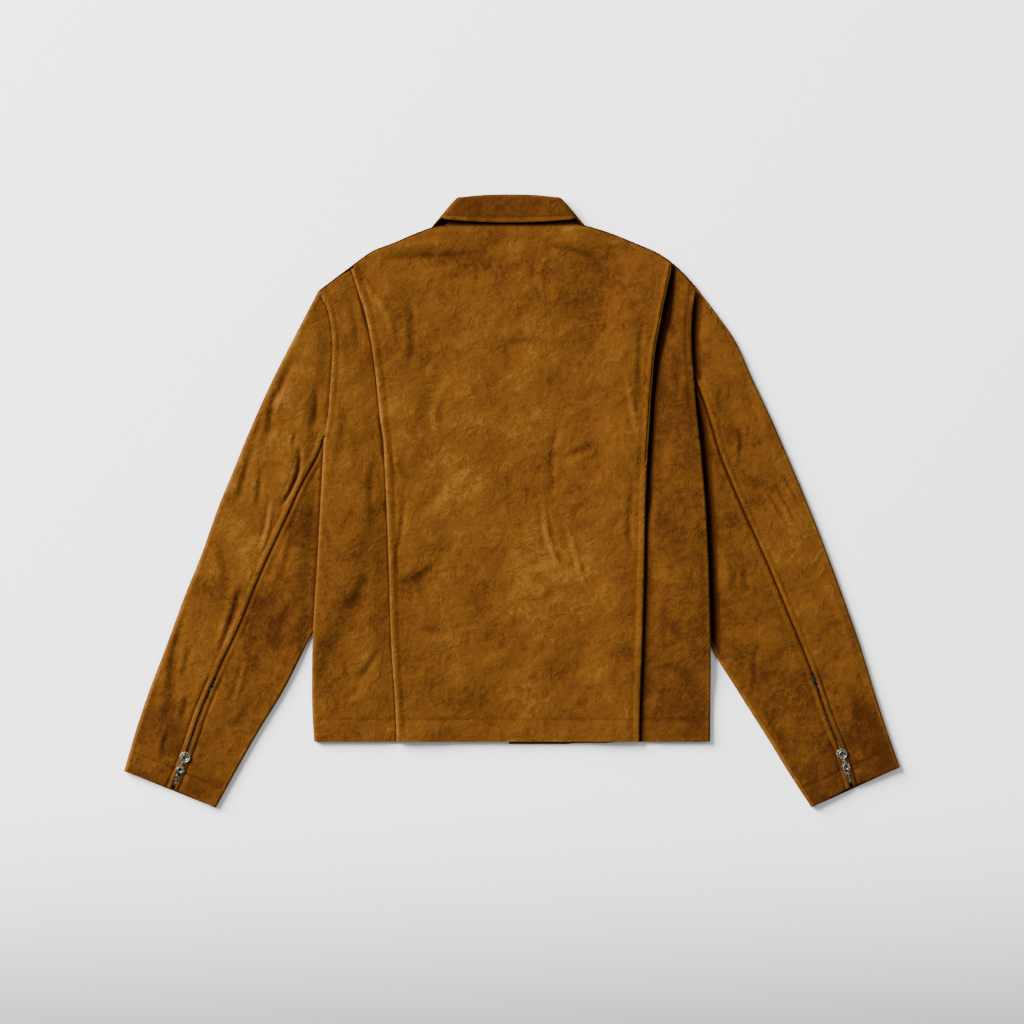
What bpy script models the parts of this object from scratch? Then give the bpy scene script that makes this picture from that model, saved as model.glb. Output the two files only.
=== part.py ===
"""A suede jacket, size medium, laid face down on a flat surface, collar at +Y.

Sizes are in millimetres. X runs to the wearer's right, Y towards the collar, Z up from the surface.
The middle of the jacket's box, on the surface, is the origin. Every cloth piece is one wall, made from
its middle surface, and the layers are stacked from the surface upwards.
"""

from math import cos, hypot, pi, sin, sqrt

import bmesh
import bpy
import numpy as np
from mathutils import Matrix, Vector

MM = 0.001

# ---------------------------------------------------------------- driving sizes
WALL = 2.0                  # suede with its backing
HALF = WALL / 2
SEAM = 0.4                  # butted edges stand this far apart
LAYER = WALL + 0.4          # middle to middle of two walls that lie on each other
SIDE_LAYER = WALL + 1.0     # the same for the side back over the front, which bends more
LOFT = 6.3                  # height of the back's middle surface where nothing lifts it
SLEEVE_SEP = 5.2            # sleeve: upper wall's middle above the lower wall's
TUCK_SEP = 3.4              # the same where the sleeve is tucked under the body
TUCK_LIFT = 5.8             # how far the tucked sleeve lifts the body's lower wall
COLLAR_LIFT = 3.2           # how far the collar's front leaves lift the fronts
PLEAT_STACK = 8.3           # centre back's middle above the front's, over the pleat's folds
PLEAT_FOLD = 2.9            # across the pleat's fold, middle to middle
RETURN_TOP, RETURN_HEM = 24.0, 13.0     # turned-under edge of the centre back
FOLD_STEPS = 4              # faces round a folded edge
HEM_Y = -300.0
FRONT_LINE_X = -8.0         # centre front, where the zip runs
ARMPIT_Y = 80.0             # lowest armhole point that shows on the back

# y: height on the body; edge, pleat: distance out from X = 0 of the side edge or armhole seam, and of
# the centre back's pleated edge
BODY_ROWS = {
    "left": [
        dict(y=-300, edge=247.5, pleat=144), dict(y=-250, edge=250, pleat=146),
        dict(y=-173, edge=249, pleat=151), dict(y=-73, edge=243, pleat=154),
        dict(y=2, edge=239, pleat=157), dict(y=66, edge=235.5, pleat=160),
        dict(y=80, edge=234.5, pleat=161), dict(y=105, edge=230, pleat=165),
        dict(y=130, edge=228, pleat=167.5), dict(y=156, edge=226, pleat=170),
        dict(y=180, edge=224.5, pleat=173), dict(y=203, edge=224.5, pleat=176.5),
        dict(y=225, edge=227, pleat=181), dict(y=243, edge=231.5, pleat=185.5),
        dict(y=256, edge=238, pleat=190), dict(y=290, edge=242, pleat=201),
    ],
    "right": [
        dict(y=-300, edge=247.5, pleat=159), dict(y=-250, edge=248, pleat=160),
        dict(y=-173, edge=248, pleat=163), dict(y=-73, edge=245.5, pleat=165.5),
        dict(y=2, edge=241.5, pleat=167), dict(y=66, edge=236, pleat=170),
        dict(y=80, edge=234, pleat=171), dict(y=105, edge=231, pleat=172.5),
        dict(y=130, edge=229, pleat=174), dict(y=156, edge=227, pleat=176),
        dict(y=180, edge=225, pleat=178), dict(y=203, edge=224, pleat=181.5),
        dict(y=225, edge=224.5, pleat=186), dict(y=243, edge=226, pleat=189),
        dict(y=256, edge=228, pleat=192), dict(y=294, edge=231, pleat=200),
    ],
}

# shoulder outline from the neck to the armhole: distance out from X = 0, and height
SHOULDER = {
    "left": [(86, 345), (93, 344.5), (101, 342.5), (112, 338.5), (124, 334), (147, 324), (173, 314),
             (189, 303.5), (203, 293), (223, 278), (241.9, 263.6)],
    "right": [(85, 346), (92, 345.5), (100, 343), (112, 339.2), (125, 335), (152, 324), (176, 314),
              (190, 306), (202, 297), (217, 283), (230.5, 267.7)],
}
PLEAT_TOP = 8               # the shoulder outline's point where the pleat meets it

# one row for each section across a sleeve, from the armhole to the cuff: its outer edge, the elbow
# seam and its inner edge, as distances out from X = 0 and heights
SLEEVE_ROWS = {
    "left": [
        dict(outer=(243.4, 262), elbow=(234.5, 80), inner=(207, 33)),
        dict(outer=(276, 198), elbow=(243, 57), inner=(206.5, 13)),
        dict(outer=(302.5, 145.5), elbow=(255.5, 34.5), inner=(206.5, -7)),
        dict(outer=(327.5, 89.5), elbow=(267, 12), inner=(207.5, -27)),
        dict(outer=(348, 39.5), elbow=(278, -13), inner=(210, -47)),
        dict(outer=(367.5, -8), elbow=(290, -38), inner=(214, -67)),
        dict(outer=(387.5, -64.5), elbow=(314, -90.5), inner=(229, -123)),
        dict(outer=(411, -123), elbow=(338, -150), inner=(257.5, -180.5)),
        dict(outer=(433, -183), elbow=(365, -208), inner=(285, -235.5)),
        dict(outer=(454, -238), elbow=(388, -262), inner=(317, -288)),
        dict(outer=(471, -289), elbow=(405.5, -313), inner=(344, -335.5)),
        dict(outer=(485, -337), elbow=(424, -359), inner=(370, -383)),
    ],
    "right": [
        dict(outer=(231.9, 266.2), elbow=(227, 156), inner=(207, 29)),
        dict(outer=(276, 205.5), elbow=(237.5, 132), inner=(206, 13)),
        dict(outer=(299.5, 155.5), elbow=(249, 97), inner=(205.5, -2)),
        dict(outer=(323, 105.5), elbow=(261, 57), inner=(206, -17)),
        dict(outer=(341, 64.5), elbow=(276, 19.5), inner=(208.5, -32)),
        dict(outer=(363.5, 12), elbow=(291, -14.5), inner=(212.5, -48)),
        dict(outer=(388.5, -50.5), elbow=(318.5, -75.5), inner=(231, -110.5)),
        dict(outer=(412.5, -115.5), elbow=(345.5, -140.5), inner=(252, -174)),
        dict(outer=(435, -179), elbow=(371, -203), inner=(281, -235.5)),
        dict(outer=(455, -244), elbow=(393.5, -267), inner=(318, -294)),
        dict(outer=(471, -293), elbow=(412, -314.5), inner=(345, -338)),
        dict(outer=(485, -332), elbow=(424, -356), inner=(374, -382.5)),
    ],
}

# front edge of the armhole, hidden on the underside, then the side seam: y, distance from X = 0
FRONT_ARMHOLE = [(33, 214), (60, 210), (105, 210), (150, 212), (200, 216.5), (240, 224), (256, 230)]
SIDE_SEAM_TURN = 14.0       # the side back runs this far round under the body

FRONT_GAP = 4.3             # from the front line to a front's edge, where the zip shows
FRONT_HEM_DROP = 3.0        # the right front shows this far below the back's hem
FRONT_TOP_Y = 267.0
FRONT_COLUMNS = [0, 0.2, 0.38, 0.54, 0.62, 0.69, 0.76, 0.83, 0.9, 0.955, 1]     # close over the sleeve
FRONT_EDGE_Y = [HEM_Y + (FRONT_TOP_Y - HEM_Y) * row / 14 for row in range(15)]

# heights at which the rows of the body's side and of the armhole lie
SIDE_Y = [-300, -262, -224, -187, -150, -112, -74, -36, 2, 34, 60, 80]
ARM_Y = [105, 130, 156, 180, 203, 225, 243, 256]

# long soft folds of the back and sleeves: two ends, width and height
FOLDS = [
    dict(start=(-111, 307), end=(-37, 311), width=22, height=-0.9),
    dict(start=(50, 317), end=(98, 312), width=20, height=-0.8),
    dict(start=(-142, -106), end=(-96, -81), width=22, height=-0.9),
    dict(start=(52, 85), end=(60, -92), width=34, height=0.5),
    dict(start=(-40, 190), end=(60, 60), width=60, height=-0.7),
    dict(start=(-110, 20), end=(-90, -200), width=60, height=0.5),
    dict(start=(-200, -215), end=(-175, -190), width=22, height=-0.8),
    dict(start=(-267, 49), end=(-279, 3), width=20, height=-0.9),
    dict(start=(-330, 60), end=(-390, -110), width=26, height=0.5),
    dict(start=(-355, -60), end=(-420, -240), width=30, height=-0.7),
    dict(start=(300, 80), end=(350, -20), width=28, height=-0.7),
    dict(start=(380, -90), end=(430, -230), width=30, height=-0.7),
]

SIGN = {"left": -1.0, "right": 1.0}


# ---------------------------------------------------------------- small maths
def smooth(start, end, value):
    """Rises from 0 at start to 1 at end, level at both."""
    t = min(max((value - start) / (end - start), 0.0), 1.0)
    return t * t * (3 - 2 * t)


def upper(first, second, soften=0.8):
    """The higher of two heights, rounded where they cross."""
    return (first + second + sqrt((first - second) ** 2 + soften ** 2)) / 2


def mix(first, second, share):
    return first + (second - first) * share


def mix_points(first, second, share):
    return tuple(mix(a, b, share) for a, b in zip(first, second))


def segment_distance(point, start, end):
    """Distance to a segment, and how far along it the nearest point lies."""
    run = (end[0] - start[0], end[1] - start[1])
    length_sq = run[0] ** 2 + run[1] ** 2
    along = ((point[0] - start[0]) * run[0] + (point[1] - start[1]) * run[1]) / length_sq
    along = min(max(along, 0.0), 1.0)
    near = (start[0] + run[0] * along, start[1] + run[1] * along)
    return hypot(point[0] - near[0], point[1] - near[1]), along


def shape_distance(point, corners):
    """Distance to a flat shape, 0 inside it."""
    inside = False
    nearest = 1e9
    for start, end in zip(corners, corners[1:] + corners[:1]):
        nearest = min(nearest, segment_distance(point, start, end)[0])
        if (start[1] > point[1]) != (end[1] > point[1]):
            cross_x = start[0] + (point[1] - start[1]) * (end[0] - start[0]) / (end[1] - start[1])
            inside = inside != (point[0] < cross_x)
    return 0.0 if inside else nearest


def column(rows, name, y):
    """A named column of a table, read at height y."""
    ordered = sorted(rows, key=lambda row: row["y"])
    return float(np.interp(y, [row["y"] for row in ordered], [row[name] for row in ordered]))


def curve_at(points, share):
    """A point on a smooth curve through evenly numbered points, share from 0 to 1."""
    position = share * (len(points) - 1)
    index = min(int(position), len(points) - 2)
    t = position - index
    before = points[max(index - 1, 0)]
    here = points[index]
    after = points[index + 1]
    beyond = points[min(index + 2, len(points) - 1)]
    return tuple(
        0.5 * (2 * h + (a - b) * t + (2 * b - 5 * h + 4 * a - e) * t ** 2
               + (3 * h - b - 3 * a + e) * t ** 3)
        for b, h, a, e in zip(before, here, after, beyond))


def inward(points, index, facing):
    """Unit vector across a line of points at one of them, on the side where facing lies."""
    before = points[max(index - 1, 0)]
    after = points[min(index + 1, len(points) - 1)]
    across = Vector((before[1] - after[1], after[0] - before[0])).normalized()
    towards = Vector(facing) - Vector(points[index])
    return across if across.dot(towards) > 0 else -across


def coons(bottom, top, left, right, shares):
    """Flat points inside four edges; bottom and top run left to right, left and right run upwards."""
    rows = []
    for j in range(len(left)):
        v = j / (len(left) - 1)
        row = []
        for i, u in enumerate(shares):
            across = mix_points(left[j], right[j], u)
            along = mix_points(bottom[i], top[i], v)
            corners = mix_points(mix_points(bottom[0], bottom[-1], u), mix_points(top[0], top[-1], u), v)
            row.append(tuple(a + b - c for a, b, c in zip(across, along, corners)))
        rows.append(row)
    return rows


# ---------------------------------------------------------------- the stack of layers
def edge(side, y):
    return column(BODY_ROWS[side], "edge", y)


def pleat(side, y):
    return column(BODY_ROWS[side], "pleat", y)


def seam_under(side, y):
    """Side seam on the underside, and above the armpit the front's armhole edge."""
    low = edge(side, y) - SIDE_SEAM_TURN
    high = float(np.interp(y, [row[0] for row in FRONT_ARMHOLE], [row[1] for row in FRONT_ARMHOLE]))
    return mix(low, high, smooth(5, 45, y))


def tuck_edge(side, y):
    """Inner edge of the sleeve, tucked under the body from the armpit down to where it comes out."""
    inner = [row["inner"] for row in SLEEVE_ROWS[side]][::-1] + [(edge(side, ARMPIT_Y), ARMPIT_Y)]
    return float(np.interp(y, [point[1] for point in inner], [point[0] for point in inner]))


def tuck_lift(side, out, y):
    behind = tuck_edge(side, y) - out
    return TUCK_LIFT * (1 - smooth(12, 54, behind)) * (1 - smooth(85, 150, y))


def collar_lift(x, y):
    near = min(shape_distance((x, y), COLLAR_FOLD_FRONT[side] + COLLAR_EDGE_FRONT[side][::-1])
               for side in SIGN)
    zip_top = segment_distance((x, y), (FRONT_LINE_X, 267), (FRONT_LINE_X, 214))[0] - 10
    return COLLAR_LIFT * (1 - smooth(3, 32, min(near, zip_top)))


def front_z(side, out, y):
    """Middle of the front's wall, which lies on the surface, the sleeve or the collar."""
    return HALF + max(tuck_lift(side, out, y), collar_lift(SIGN[side] * out, y))


def folds_at(x, y):
    total = 0.0
    for fold in FOLDS:
        away, along = segment_distance((x, y), fold["start"], fold["end"])
        total += fold["height"] * (1 - smooth(0, fold["width"], away))
    return total


def side_z(side, out, y):
    """Middle of the side back: low where the centre back's turned edge lies on it, then rising."""
    base = front_z(side, out, y)
    beyond = out - pleat(side, y)
    raised = upper(base + SIDE_LAYER + 0.4, LOFT) + folds_at(SIGN[side] * out, y) * smooth(10, 40, beyond)
    return mix(base + SIDE_LAYER, raised, smooth(1, 28, beyond))


def centre_z(x, y):
    """Middle of the centre back, raised over its pleats and at the neck."""
    side = "left" if x < 0 else "right"
    base = front_z(side, abs(x), y)
    inside = pleat(side, y) - abs(x)
    over_zip = hypot(x - FRONT_LINE_X, y - FRONT_SLIDER_Y)
    clear = 0.6 + 1.6 * (1 - smooth(16, 60, over_zip))
    plain = upper(base + LAYER + clear, LOFT) + folds_at(x, y) * smooth(30, 60, inside)
    plain = mix(plain, NECK_Z, smooth(312, 347, y))
    return mix(plain, base + PLEAT_STACK, 1 - smooth(30, 78, inside))


def sleeve_tuck(side, out, y):
    """1 where the sleeve is pressed flat under the body's side, 0 where it is free."""
    under = edge(side, max(y, ARMPIT_Y - 200)) - out
    return smooth(-26, -8, under) * (1 - smooth(105, 150, y))


def sleeve_z(side, out, y):
    """Middle of the sleeve's upper wall."""
    tuck = sleeve_tuck(side, out, y)
    return HALF + mix(SLEEVE_SEP, TUCK_SEP, tuck) + 0.8 * (1 - tuck) * folds_at(SIGN[side] * out, y)


# ---------------------------------------------------------------- building solids
def clear_scene():
    for item in list(bpy.data.objects):
        bpy.data.objects.remove(item, do_unlink=True)


def collection(name):
    group = bpy.data.collections.new(name)
    bpy.context.scene.collection.children.link(group)
    return group


def material(name, colour, roughness, metallic):
    made = bpy.data.materials.new(name)
    made.use_nodes = True
    shader = made.node_tree.nodes["Principled BSDF"]
    shader.inputs["Base Color"].default_value = (*colour, 1.0)
    shader.inputs["Roughness"].default_value = roughness
    shader.inputs["Metallic"].default_value = metallic
    return made


def object_from(name, mesh_data, look, group):
    made = bpy.data.objects.new(name, mesh_data)
    made.data.materials.append(look)
    group.objects.link(made)
    return made


def cloth(name, grids, look, group, thickness=WALL):
    """One cloth wall from grids of points on its middle surface; grids share their common edges."""
    form = bmesh.new()
    for grid in grids:
        lines = [[form.verts.new(Vector(point) * MM) for point in row] for row in grid]
        for lower, higher in zip(lines, lines[1:]):
            for i in range(len(lower) - 1):
                form.faces.new((lower[i], lower[i + 1], higher[i + 1], higher[i]))
    bmesh.ops.remove_doubles(form, verts=form.verts, dist=0.00005)
    bmesh.ops.recalc_face_normals(form, faces=form.faces)
    data = bpy.data.meshes.new(name)
    form.to_mesh(data)
    form.free()
    data.shade_smooth()
    made = object_from(name, data, look, group)
    wall = made.modifiers.new("wall", "SOLIDIFY")
    wall.thickness = thickness * MM
    wall.offset = 0.0
    wall.use_even_offset = True
    return made


def fold_round(outline, towards, low_z, high_z, steps=FOLD_STEPS):
    """Points round a folded edge, from the top wall to the bottom one; outline is the outer extreme."""
    radius = (high_z - low_z) / 2
    points = []
    for step in range(steps + 1):
        turn = pi * step / steps
        inset = HALF + radius - radius * sin(turn)
        place = Vector(outline) + towards * inset
        points.append((place.x, place.y, (high_z + low_z) / 2 + radius * cos(turn)))
    return points


def placed(side, flat, height):
    """A point on one side of the jacket from its distance out, y and height."""
    return (SIGN[side] * flat[0], flat[1], height)


# ---------------------------------------------------------------- collar sizes
COLLAR_MIDDLE_X = -4.0
COLLAR_TOP_HALF = 63.0      # half the fold at the top
COLLAR_TOP_Y = 379.0
COLLAR_CROWN = 5.0          # the fold's rise at its middle
COLLAR_EDGE_Y = 345.5       # free edge of the fall at the middle
COLLAR_EDGE_RISE = 4.0      # and how much higher it ends at the sides
COLLAR_SLANT = (27.0, -30.0)    # from the end of the fold outwards and down to the free edge
COLLAR_SIDE_WIDTH = 38.0    # of the fall where it turns under
COLLAR_FOLD_SEP = 3.2       # across the collar's fold, middle to middle
COLLAR_HIGH, COLLAR_LOW = 11.2, 10.8    # middle of the fall at its fold and at its free edge
NECK_Y, NECK_Z = 353.0, 7.5     # neck seam on the back
COLLAR_FOLD_FRONT = {       # hidden front leaf: its fold line
    "left": [(-62, 372), (-50, 335), (-12, 290)], "right": [(56, 372), (40, 335), (-4, 290)]}
COLLAR_EDGE_FRONT = {       # and its free edge, to the collar's point
    "left": [(-87, 344), (-82, 290), (-46, 226)], "right": [(81, 344), (70, 290), (30, 226)]}
NECKLINE = {                # front neckline, from the shoulder to the centre front
    "left": [(-86, 345), (-80, 318), (-58, 289), (-30, 273), (-10.6, 267)],
    "right": [(85, 346), (76, 318), (50, 289), (18, 273), (-5.4, 267)]}


# ---------------------------------------------------------------- body pieces
def shoulder_folds(side):
    """For each point of the shoulder outline: its place, inward direction and the fold's heights."""
    outline = SHOULDER[side]
    folds = []
    for i, point in enumerate(outline):
        towards = inward(outline, i, (100, 100))
        if i == len(outline) - 1:
            towards = Vector((-0.73, -0.68)).normalized()
        low = front_z(side, *(Vector(point) + towards * 4))
        folds.append(dict(point=point, towards=towards, low=low, high=upper(low + 3.4, LOFT, 0.3)))
    return folds


def shoulder_line(side, beyond):
    """The shoulder's fold line shifted inwards past the fold by a given distance."""
    line = []
    for fold in shoulder_folds(side):
        inset = HALF + (fold["high"] - fold["low"]) / 2 + beyond
        line.append(tuple(Vector(fold["point"]) + fold["towards"] * inset))
    return line


def front(side, look, group):
    sign = SIGN[side]
    cf_out = sign * FRONT_LINE_X + FRONT_GAP
    outer_y = SIDE_Y + ARM_Y
    outer = [(seam_under(side, y) - (2 * SEAM if y <= ARMPIT_Y else 0), y) for y in outer_y]
    shoulder = shoulder_line(side, 0.0)
    outer.append(shoulder[-1])
    neck = [(sign * x, y) for x, y in NECKLINE[side]][::-1]
    neck_rows = len(outer) - len(FRONT_EDGE_Y)
    inner = [(cf_out, y) for y in FRONT_EDGE_Y]
    inner += [curve_at(neck, (j + 1) / neck_rows) for j in range(neck_rows)]
    inner[-1] = shoulder[0]
    shares = FRONT_COLUMNS
    hem = [mix_points(inner[0], outer[0], share) for share in shares]
    if side == "right":
        hem[:4] = [(x, y - FRONT_HEM_DROP) for x, y in hem[:4]]
    inner[0] = hem[0]
    flat = coons(hem, shoulder, inner, outer, shares)
    main = [[placed(side, point, front_z(side, *point)) for point in row] for row in flat]
    folds = []
    for i, fold in enumerate(shoulder_folds(side)):
        low = front_z(side, *shoulder[i])
        around = fold_round(fold["point"], fold["towards"], low, fold["high"])[::-1]
        last = Vector(around[-1][:2]) + fold["towards"] * 0.6
        around.append((last.x, last.y, fold["high"]))
        folds.append([placed(side, point[:2], point[2]) for point in around])
    wrap = [list(row) for row in zip(*folds)]
    return cloth("front_" + side, [main, wrap], look, group)


def back_side(side, look, group):
    outer_y = SIDE_Y + ARM_Y
    tuck_in = [mix(RETURN_HEM, RETURN_TOP, smooth(-300, 100, y)) - 2 for y in outer_y]
    top_line = [tuple(p) for p in shoulder_line(side, 0.6 + SEAM)]
    pleat_top, corner = top_line[PLEAT_TOP], top_line[-1]
    inner = [(pleat(side, y) - inset, y) for y, inset in zip(outer_y, tuck_in)]
    inner.append((pleat_top[0] - RETURN_TOP + 4, pleat_top[1] + 4))
    fold_inset = []
    for y in outer_y:
        radius = (side_z(side, edge(side, y), y) - front_z(side, edge(side, y), y)) / 2
        fold_inset.append(HALF + radius if y <= ARMPIT_Y else SEAM / 2)
    outer = [(edge(side, y) - inset, y) for y, inset in zip(outer_y, fold_inset)]
    outer.append(corner)
    columns = 7
    shares = [0, 0.14, 0.26, 0.42, 0.6, 0.78, 0.9, 1.0]
    hem = [mix_points(inner[0], outer[0], share) for share in shares]
    top = [mix_points(inner[-1], corner, share) for share in shares]
    flat = []
    for j in range(len(outer)):
        v = j / (len(outer) - 1)
        row = []
        for i, share in enumerate(shares):
            across = mix_points(inner[j], outer[j], share)
            row.append(across)
        flat.append(row)
    flat[-1] = top
    flat[0] = hem
    main = [[placed(side, point, side_z(side, *point)) for point in row] for row in flat]
    wrap = []
    for j, y in enumerate(SIDE_Y):
        out = outer[j][0]
        high = side_z(side, out, y)
        low = front_z(side, out, y)
        around = fold_round((edge(side, y), y), Vector((-1, 0)), low, high)
        around[0] = (out, y, high)
        end = seam_under(side, y)
        middle = (around[-1][0] + end) / 2
        around.append((middle, y, front_z(side, middle, y)))
        around.append((end, y, front_z(side, end, y)))
        wrap.append([placed(side, point[:2], point[2]) for point in around])
    return cloth("back_side_" + side, [main, wrap], look, group)


def back_centre(look, group):
    row_y = SIDE_Y + ARM_Y
    neck_columns = 6
    edges = {}
    tops = {}
    for side in SIGN:
        line = shoulder_line(side, 0.6 + SEAM)[:PLEAT_TOP + 1]
        pleat_top = (line[-1][0], line[-1][1] - 2)
        tops[side] = [(SIGN[side] * x, y) for x, y in line]
        inset = HALF + PLEAT_FOLD / 2
        edges[side] = [(SIGN[side] * (pleat(side, y) - inset), y) for y in row_y]
        edges[side].append((SIGN[side] * (pleat_top[0] - inset), pleat_top[1]))
        tops[side][-1] = edges[side][-1]
    neck_left = tops["left"][0]
    neck_right = tops["right"][0]
    neck = [(mix(neck_left[0], neck_right[0], i / neck_columns), NECK_Y) for i in range(1, neck_columns)]
    top = tops["left"][::-1] + neck + tops["right"]
    hem = [mix_points(edges["left"][0], edges["right"][0], i / (len(top) - 1)) for i in range(len(top))]
    flat = coons(hem, top, edges["left"], edges["right"], [i / (len(top) - 1) for i in range(len(top))])
    main = [[(x, y, centre_z(x, y)) for x, y in row] for row in flat]
    grids = [main]
    for side, index in (("left", 0), ("right", -1)):
        sign = SIGN[side]
        turned = []
        for j, y in enumerate(row_y + [edges[side][-1][1]]):
            start = main[j][index]
            out = sign * edges[side][j][0] + HALF + PLEAT_FOLD / 2
            around = fold_round((out, start[1]), Vector((-1, 0)), start[2] - PLEAT_FOLD, start[2])
            around[0] = (sign * start[0], start[1], start[2])
            width = mix(RETURN_HEM, RETURN_TOP, smooth(-300, 100, y))
            for share in (0.55, 1.0):
                place = out - mix(HALF + PLEAT_FOLD / 2, width, share)
                height = front_z(side, place, start[1]) + PLEAT_STACK - PLEAT_FOLD
                around.append((place, start[1], height))
            turned.append([placed(side, point[:2], point[2]) for point in around])
        grids.append(turned)
    return cloth("back_centre", grids, look, group)


# ---------------------------------------------------------------- sleeves
ROWS_ABOVE_ZIP, ROWS_AT_ZIP = 14, 5
ARM_FRONT_Y = [256, 243, 203, 156, 105, 80, 62]      # front edge of the armhole, on the underside
FRONT_SEAM_INSET = 25.0     # the sleeve's front seam, this far inside its inner edge
UNDERLAP = 8.0              # sleeve's edge under the body's raised side
ZIP_TOP_Y = {"left": -219.0, "right": -212.0}
ZIP_GAP_TOP, ZIP_GAP_CUFF = 1.5, 4.3    # half the opening, under its top and at the cuff
CORNER_INWARD = Vector((-0.73, -0.68)).normalized()


def sleeve_line(side, name, share):
    """A point of one lengthwise line of the sleeve, as distance out and y."""
    return curve_at([row[name] for row in SLEEVE_ROWS[side]], share)


def sleeve_frame(side, share):
    """Outer, elbow and inner points of a section, and its direction from outer to inner edge."""
    outer, elbow, inner = (Vector(sleeve_line(side, name, share)) for name in ("outer", "elbow", "inner"))
    return outer, elbow, inner, (inner - outer).normalized()


def elbow_gap(side, y):
    """Half the space between top and under sleeve: a seam, then the cuff's zipped opening."""
    below = smooth(ZIP_TOP_Y[side], ZIP_TOP_Y[side] - 2, y)
    return SEAM / 2 + below * mix(ZIP_GAP_TOP, ZIP_GAP_CUFF, smooth(ZIP_TOP_Y[side], -325, y))


def armhole_out(side, y):
    """Back edge of the armhole on the sleeve; low down it slips under the body's side."""
    return edge(side, y) + SEAM / 2 - UNDERLAP * smooth(104, 84, y)


def sleeve_shares(side):
    """Places of a sleeve's rows from 0 at the armhole to 1 at the cuff, close together at the zip's top."""
    top = zip_top_share(side)
    above = [top * j / ROWS_ABOVE_ZIP for j in range(ROWS_ABOVE_ZIP + 1)]
    return above + [mix(top + 0.01, 1, j / ROWS_AT_ZIP) for j in range(ROWS_AT_ZIP + 1)]


def zip_top_share(side):
    heights = [row["elbow"][1] for row in SLEEVE_ROWS[side]][::-1]
    places = [i / (len(heights) - 1) for i in range(len(heights))][::-1]
    return float(np.interp(ZIP_TOP_Y[side], heights, places))


def edge_inward(side, name, share):
    """Direction from a sleeve's edge across the sleeve, square to that edge."""
    step = 0.02
    before = Vector(sleeve_line(side, name, max(share - step, 0)))
    after = Vector(sleeve_line(side, name, min(share + step, 1)))
    run = (after - before).normalized()
    across = Vector((run.y, -run.x))
    middle = Vector(sleeve_line(side, "elbow", share))
    return across if across.dot(middle - before) > 0 else -across


def sleeve_fold(side, name, share):
    """Folded edge of a sleeve: points from the upper wall round to the lower one."""
    outline = Vector(sleeve_line(side, name, share))
    towards = edge_inward(side, name, share)
    if name == "outer":
        towards = towards.lerp(CORNER_INWARD, 1 - smooth(0, 0.08, share)).normalized()
    reach = outline + towards * 3.5
    return fold_round(outline, towards, HALF, sleeve_z(side, *reach))


def bent_row(start, end, curve, decay):
    """Points from start to end that keep part of a first curve's bow."""
    total = [0.0]
    for here, after in zip(curve, curve[1:]):
        total.append(total[-1] + hypot(after[0] - here[0], after[1] - here[1]))
    points = []
    for travelled, point in zip(total, curve):
        share = travelled / total[-1]
        straight = mix_points(curve[0], curve[-1], share)
        plain = mix_points(start, end, share)
        points.append(tuple(p + (c - s) * decay for p, c, s in zip(plain, point, straight)))
    return points


def sleeve_top(side, look, group):
    elbow_y = SLEEVE_ROWS[side][0]["elbow"][1]
    first_fold = sleeve_fold(side, "outer", 0)
    upper_y = [y for y in ARM_Y if y > elbow_y] + [elbow_y + SEAM]
    armhole = [first_fold[0][:2]] + [(armhole_out(side, y), y) for y in sorted(upper_y, reverse=True)]
    below = [first_fold[-1][:2]]
    below += [(seam_under(side, y) + 2 * SEAM - UNDERLAP * smooth(104, 84, y), y) for y in ARM_FRONT_Y]
    grid = []
    for j, share in enumerate(sleeve_shares(side)):
        outer, elbow, inner, across = sleeve_frame(side, share)
        fold = sleeve_fold(side, "outer", share)
        seam_end = tuple(elbow - across * elbow_gap(side, elbow.y)) if j else armhole[-1]
        decay = 1 - smooth(0, 0.36, share)
        top = bent_row(fold[0][:2], seam_end, armhole, decay)
        front_seam = tuple(inner - across * FRONT_SEAM_INSET) if j else below[-1]
        low = bent_row(fold[-1][:2], front_seam, below, decay)
        row = [(*point, sleeve_z(side, *point)) for point in top[:0:-1]] + fold
        row += [(*point, HALF) for point in low[1:]]
        grid.append([placed(side, point[:2], point[2]) for point in row])
    return cloth("sleeve_top_" + side, [grid], look, group)


def sleeve_under(side, look, group):
    elbow_y = SLEEVE_ROWS[side][0]["elbow"][1]
    first_fold = sleeve_fold(side, "inner", 0)
    shown_y = [y for y in ([ARMPIT_Y] + ARM_Y) if y < elbow_y] + [elbow_y - SEAM]
    armhole = [(armhole_out(side, y), y) for y in sorted(shown_y, reverse=True)]
    armhole += [mix_points(armhole[-1], first_fold[0][:2], share) for share in (0.35, 0.7, 1.0)]
    below_start = (seam_under(side, ARM_FRONT_Y[-1]) + 2 * SEAM - UNDERLAP, ARM_FRONT_Y[-1] - 1)
    grid = []
    for j, share in enumerate(sleeve_shares(side)):
        outer, elbow, inner, across = sleeve_frame(side, share)
        fold = sleeve_fold(side, "inner", share)
        seam_start = tuple(elbow + across * elbow_gap(side, elbow.y)) if j else armhole[0]
        top = bent_row(seam_start, fold[0][:2], armhole, 1 - smooth(0, 0.3, share))
        seam_end = tuple(inner - across * (FRONT_SEAM_INSET - 2 * SEAM)) if j else below_start
        row = [(*point, sleeve_z(side, *point)) for point in top[:-1]] + fold
        row += [(*mix_points(fold[-1][:2], seam_end, part), HALF) for part in (0.5, 1.0)]
        grid.append([placed(side, point[:2], point[2]) for point in row])
    return cloth("sleeve_under_" + side, [grid], look, group)


# ---------------------------------------------------------------- collar
COLLAR_BACK_STEPS, COLLAR_TURN_STEPS, COLLAR_FRONT_STEPS = 6, 4, 6
STAND_SIDE_WIDTH = 33.0     # of the stand where it turns under


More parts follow.
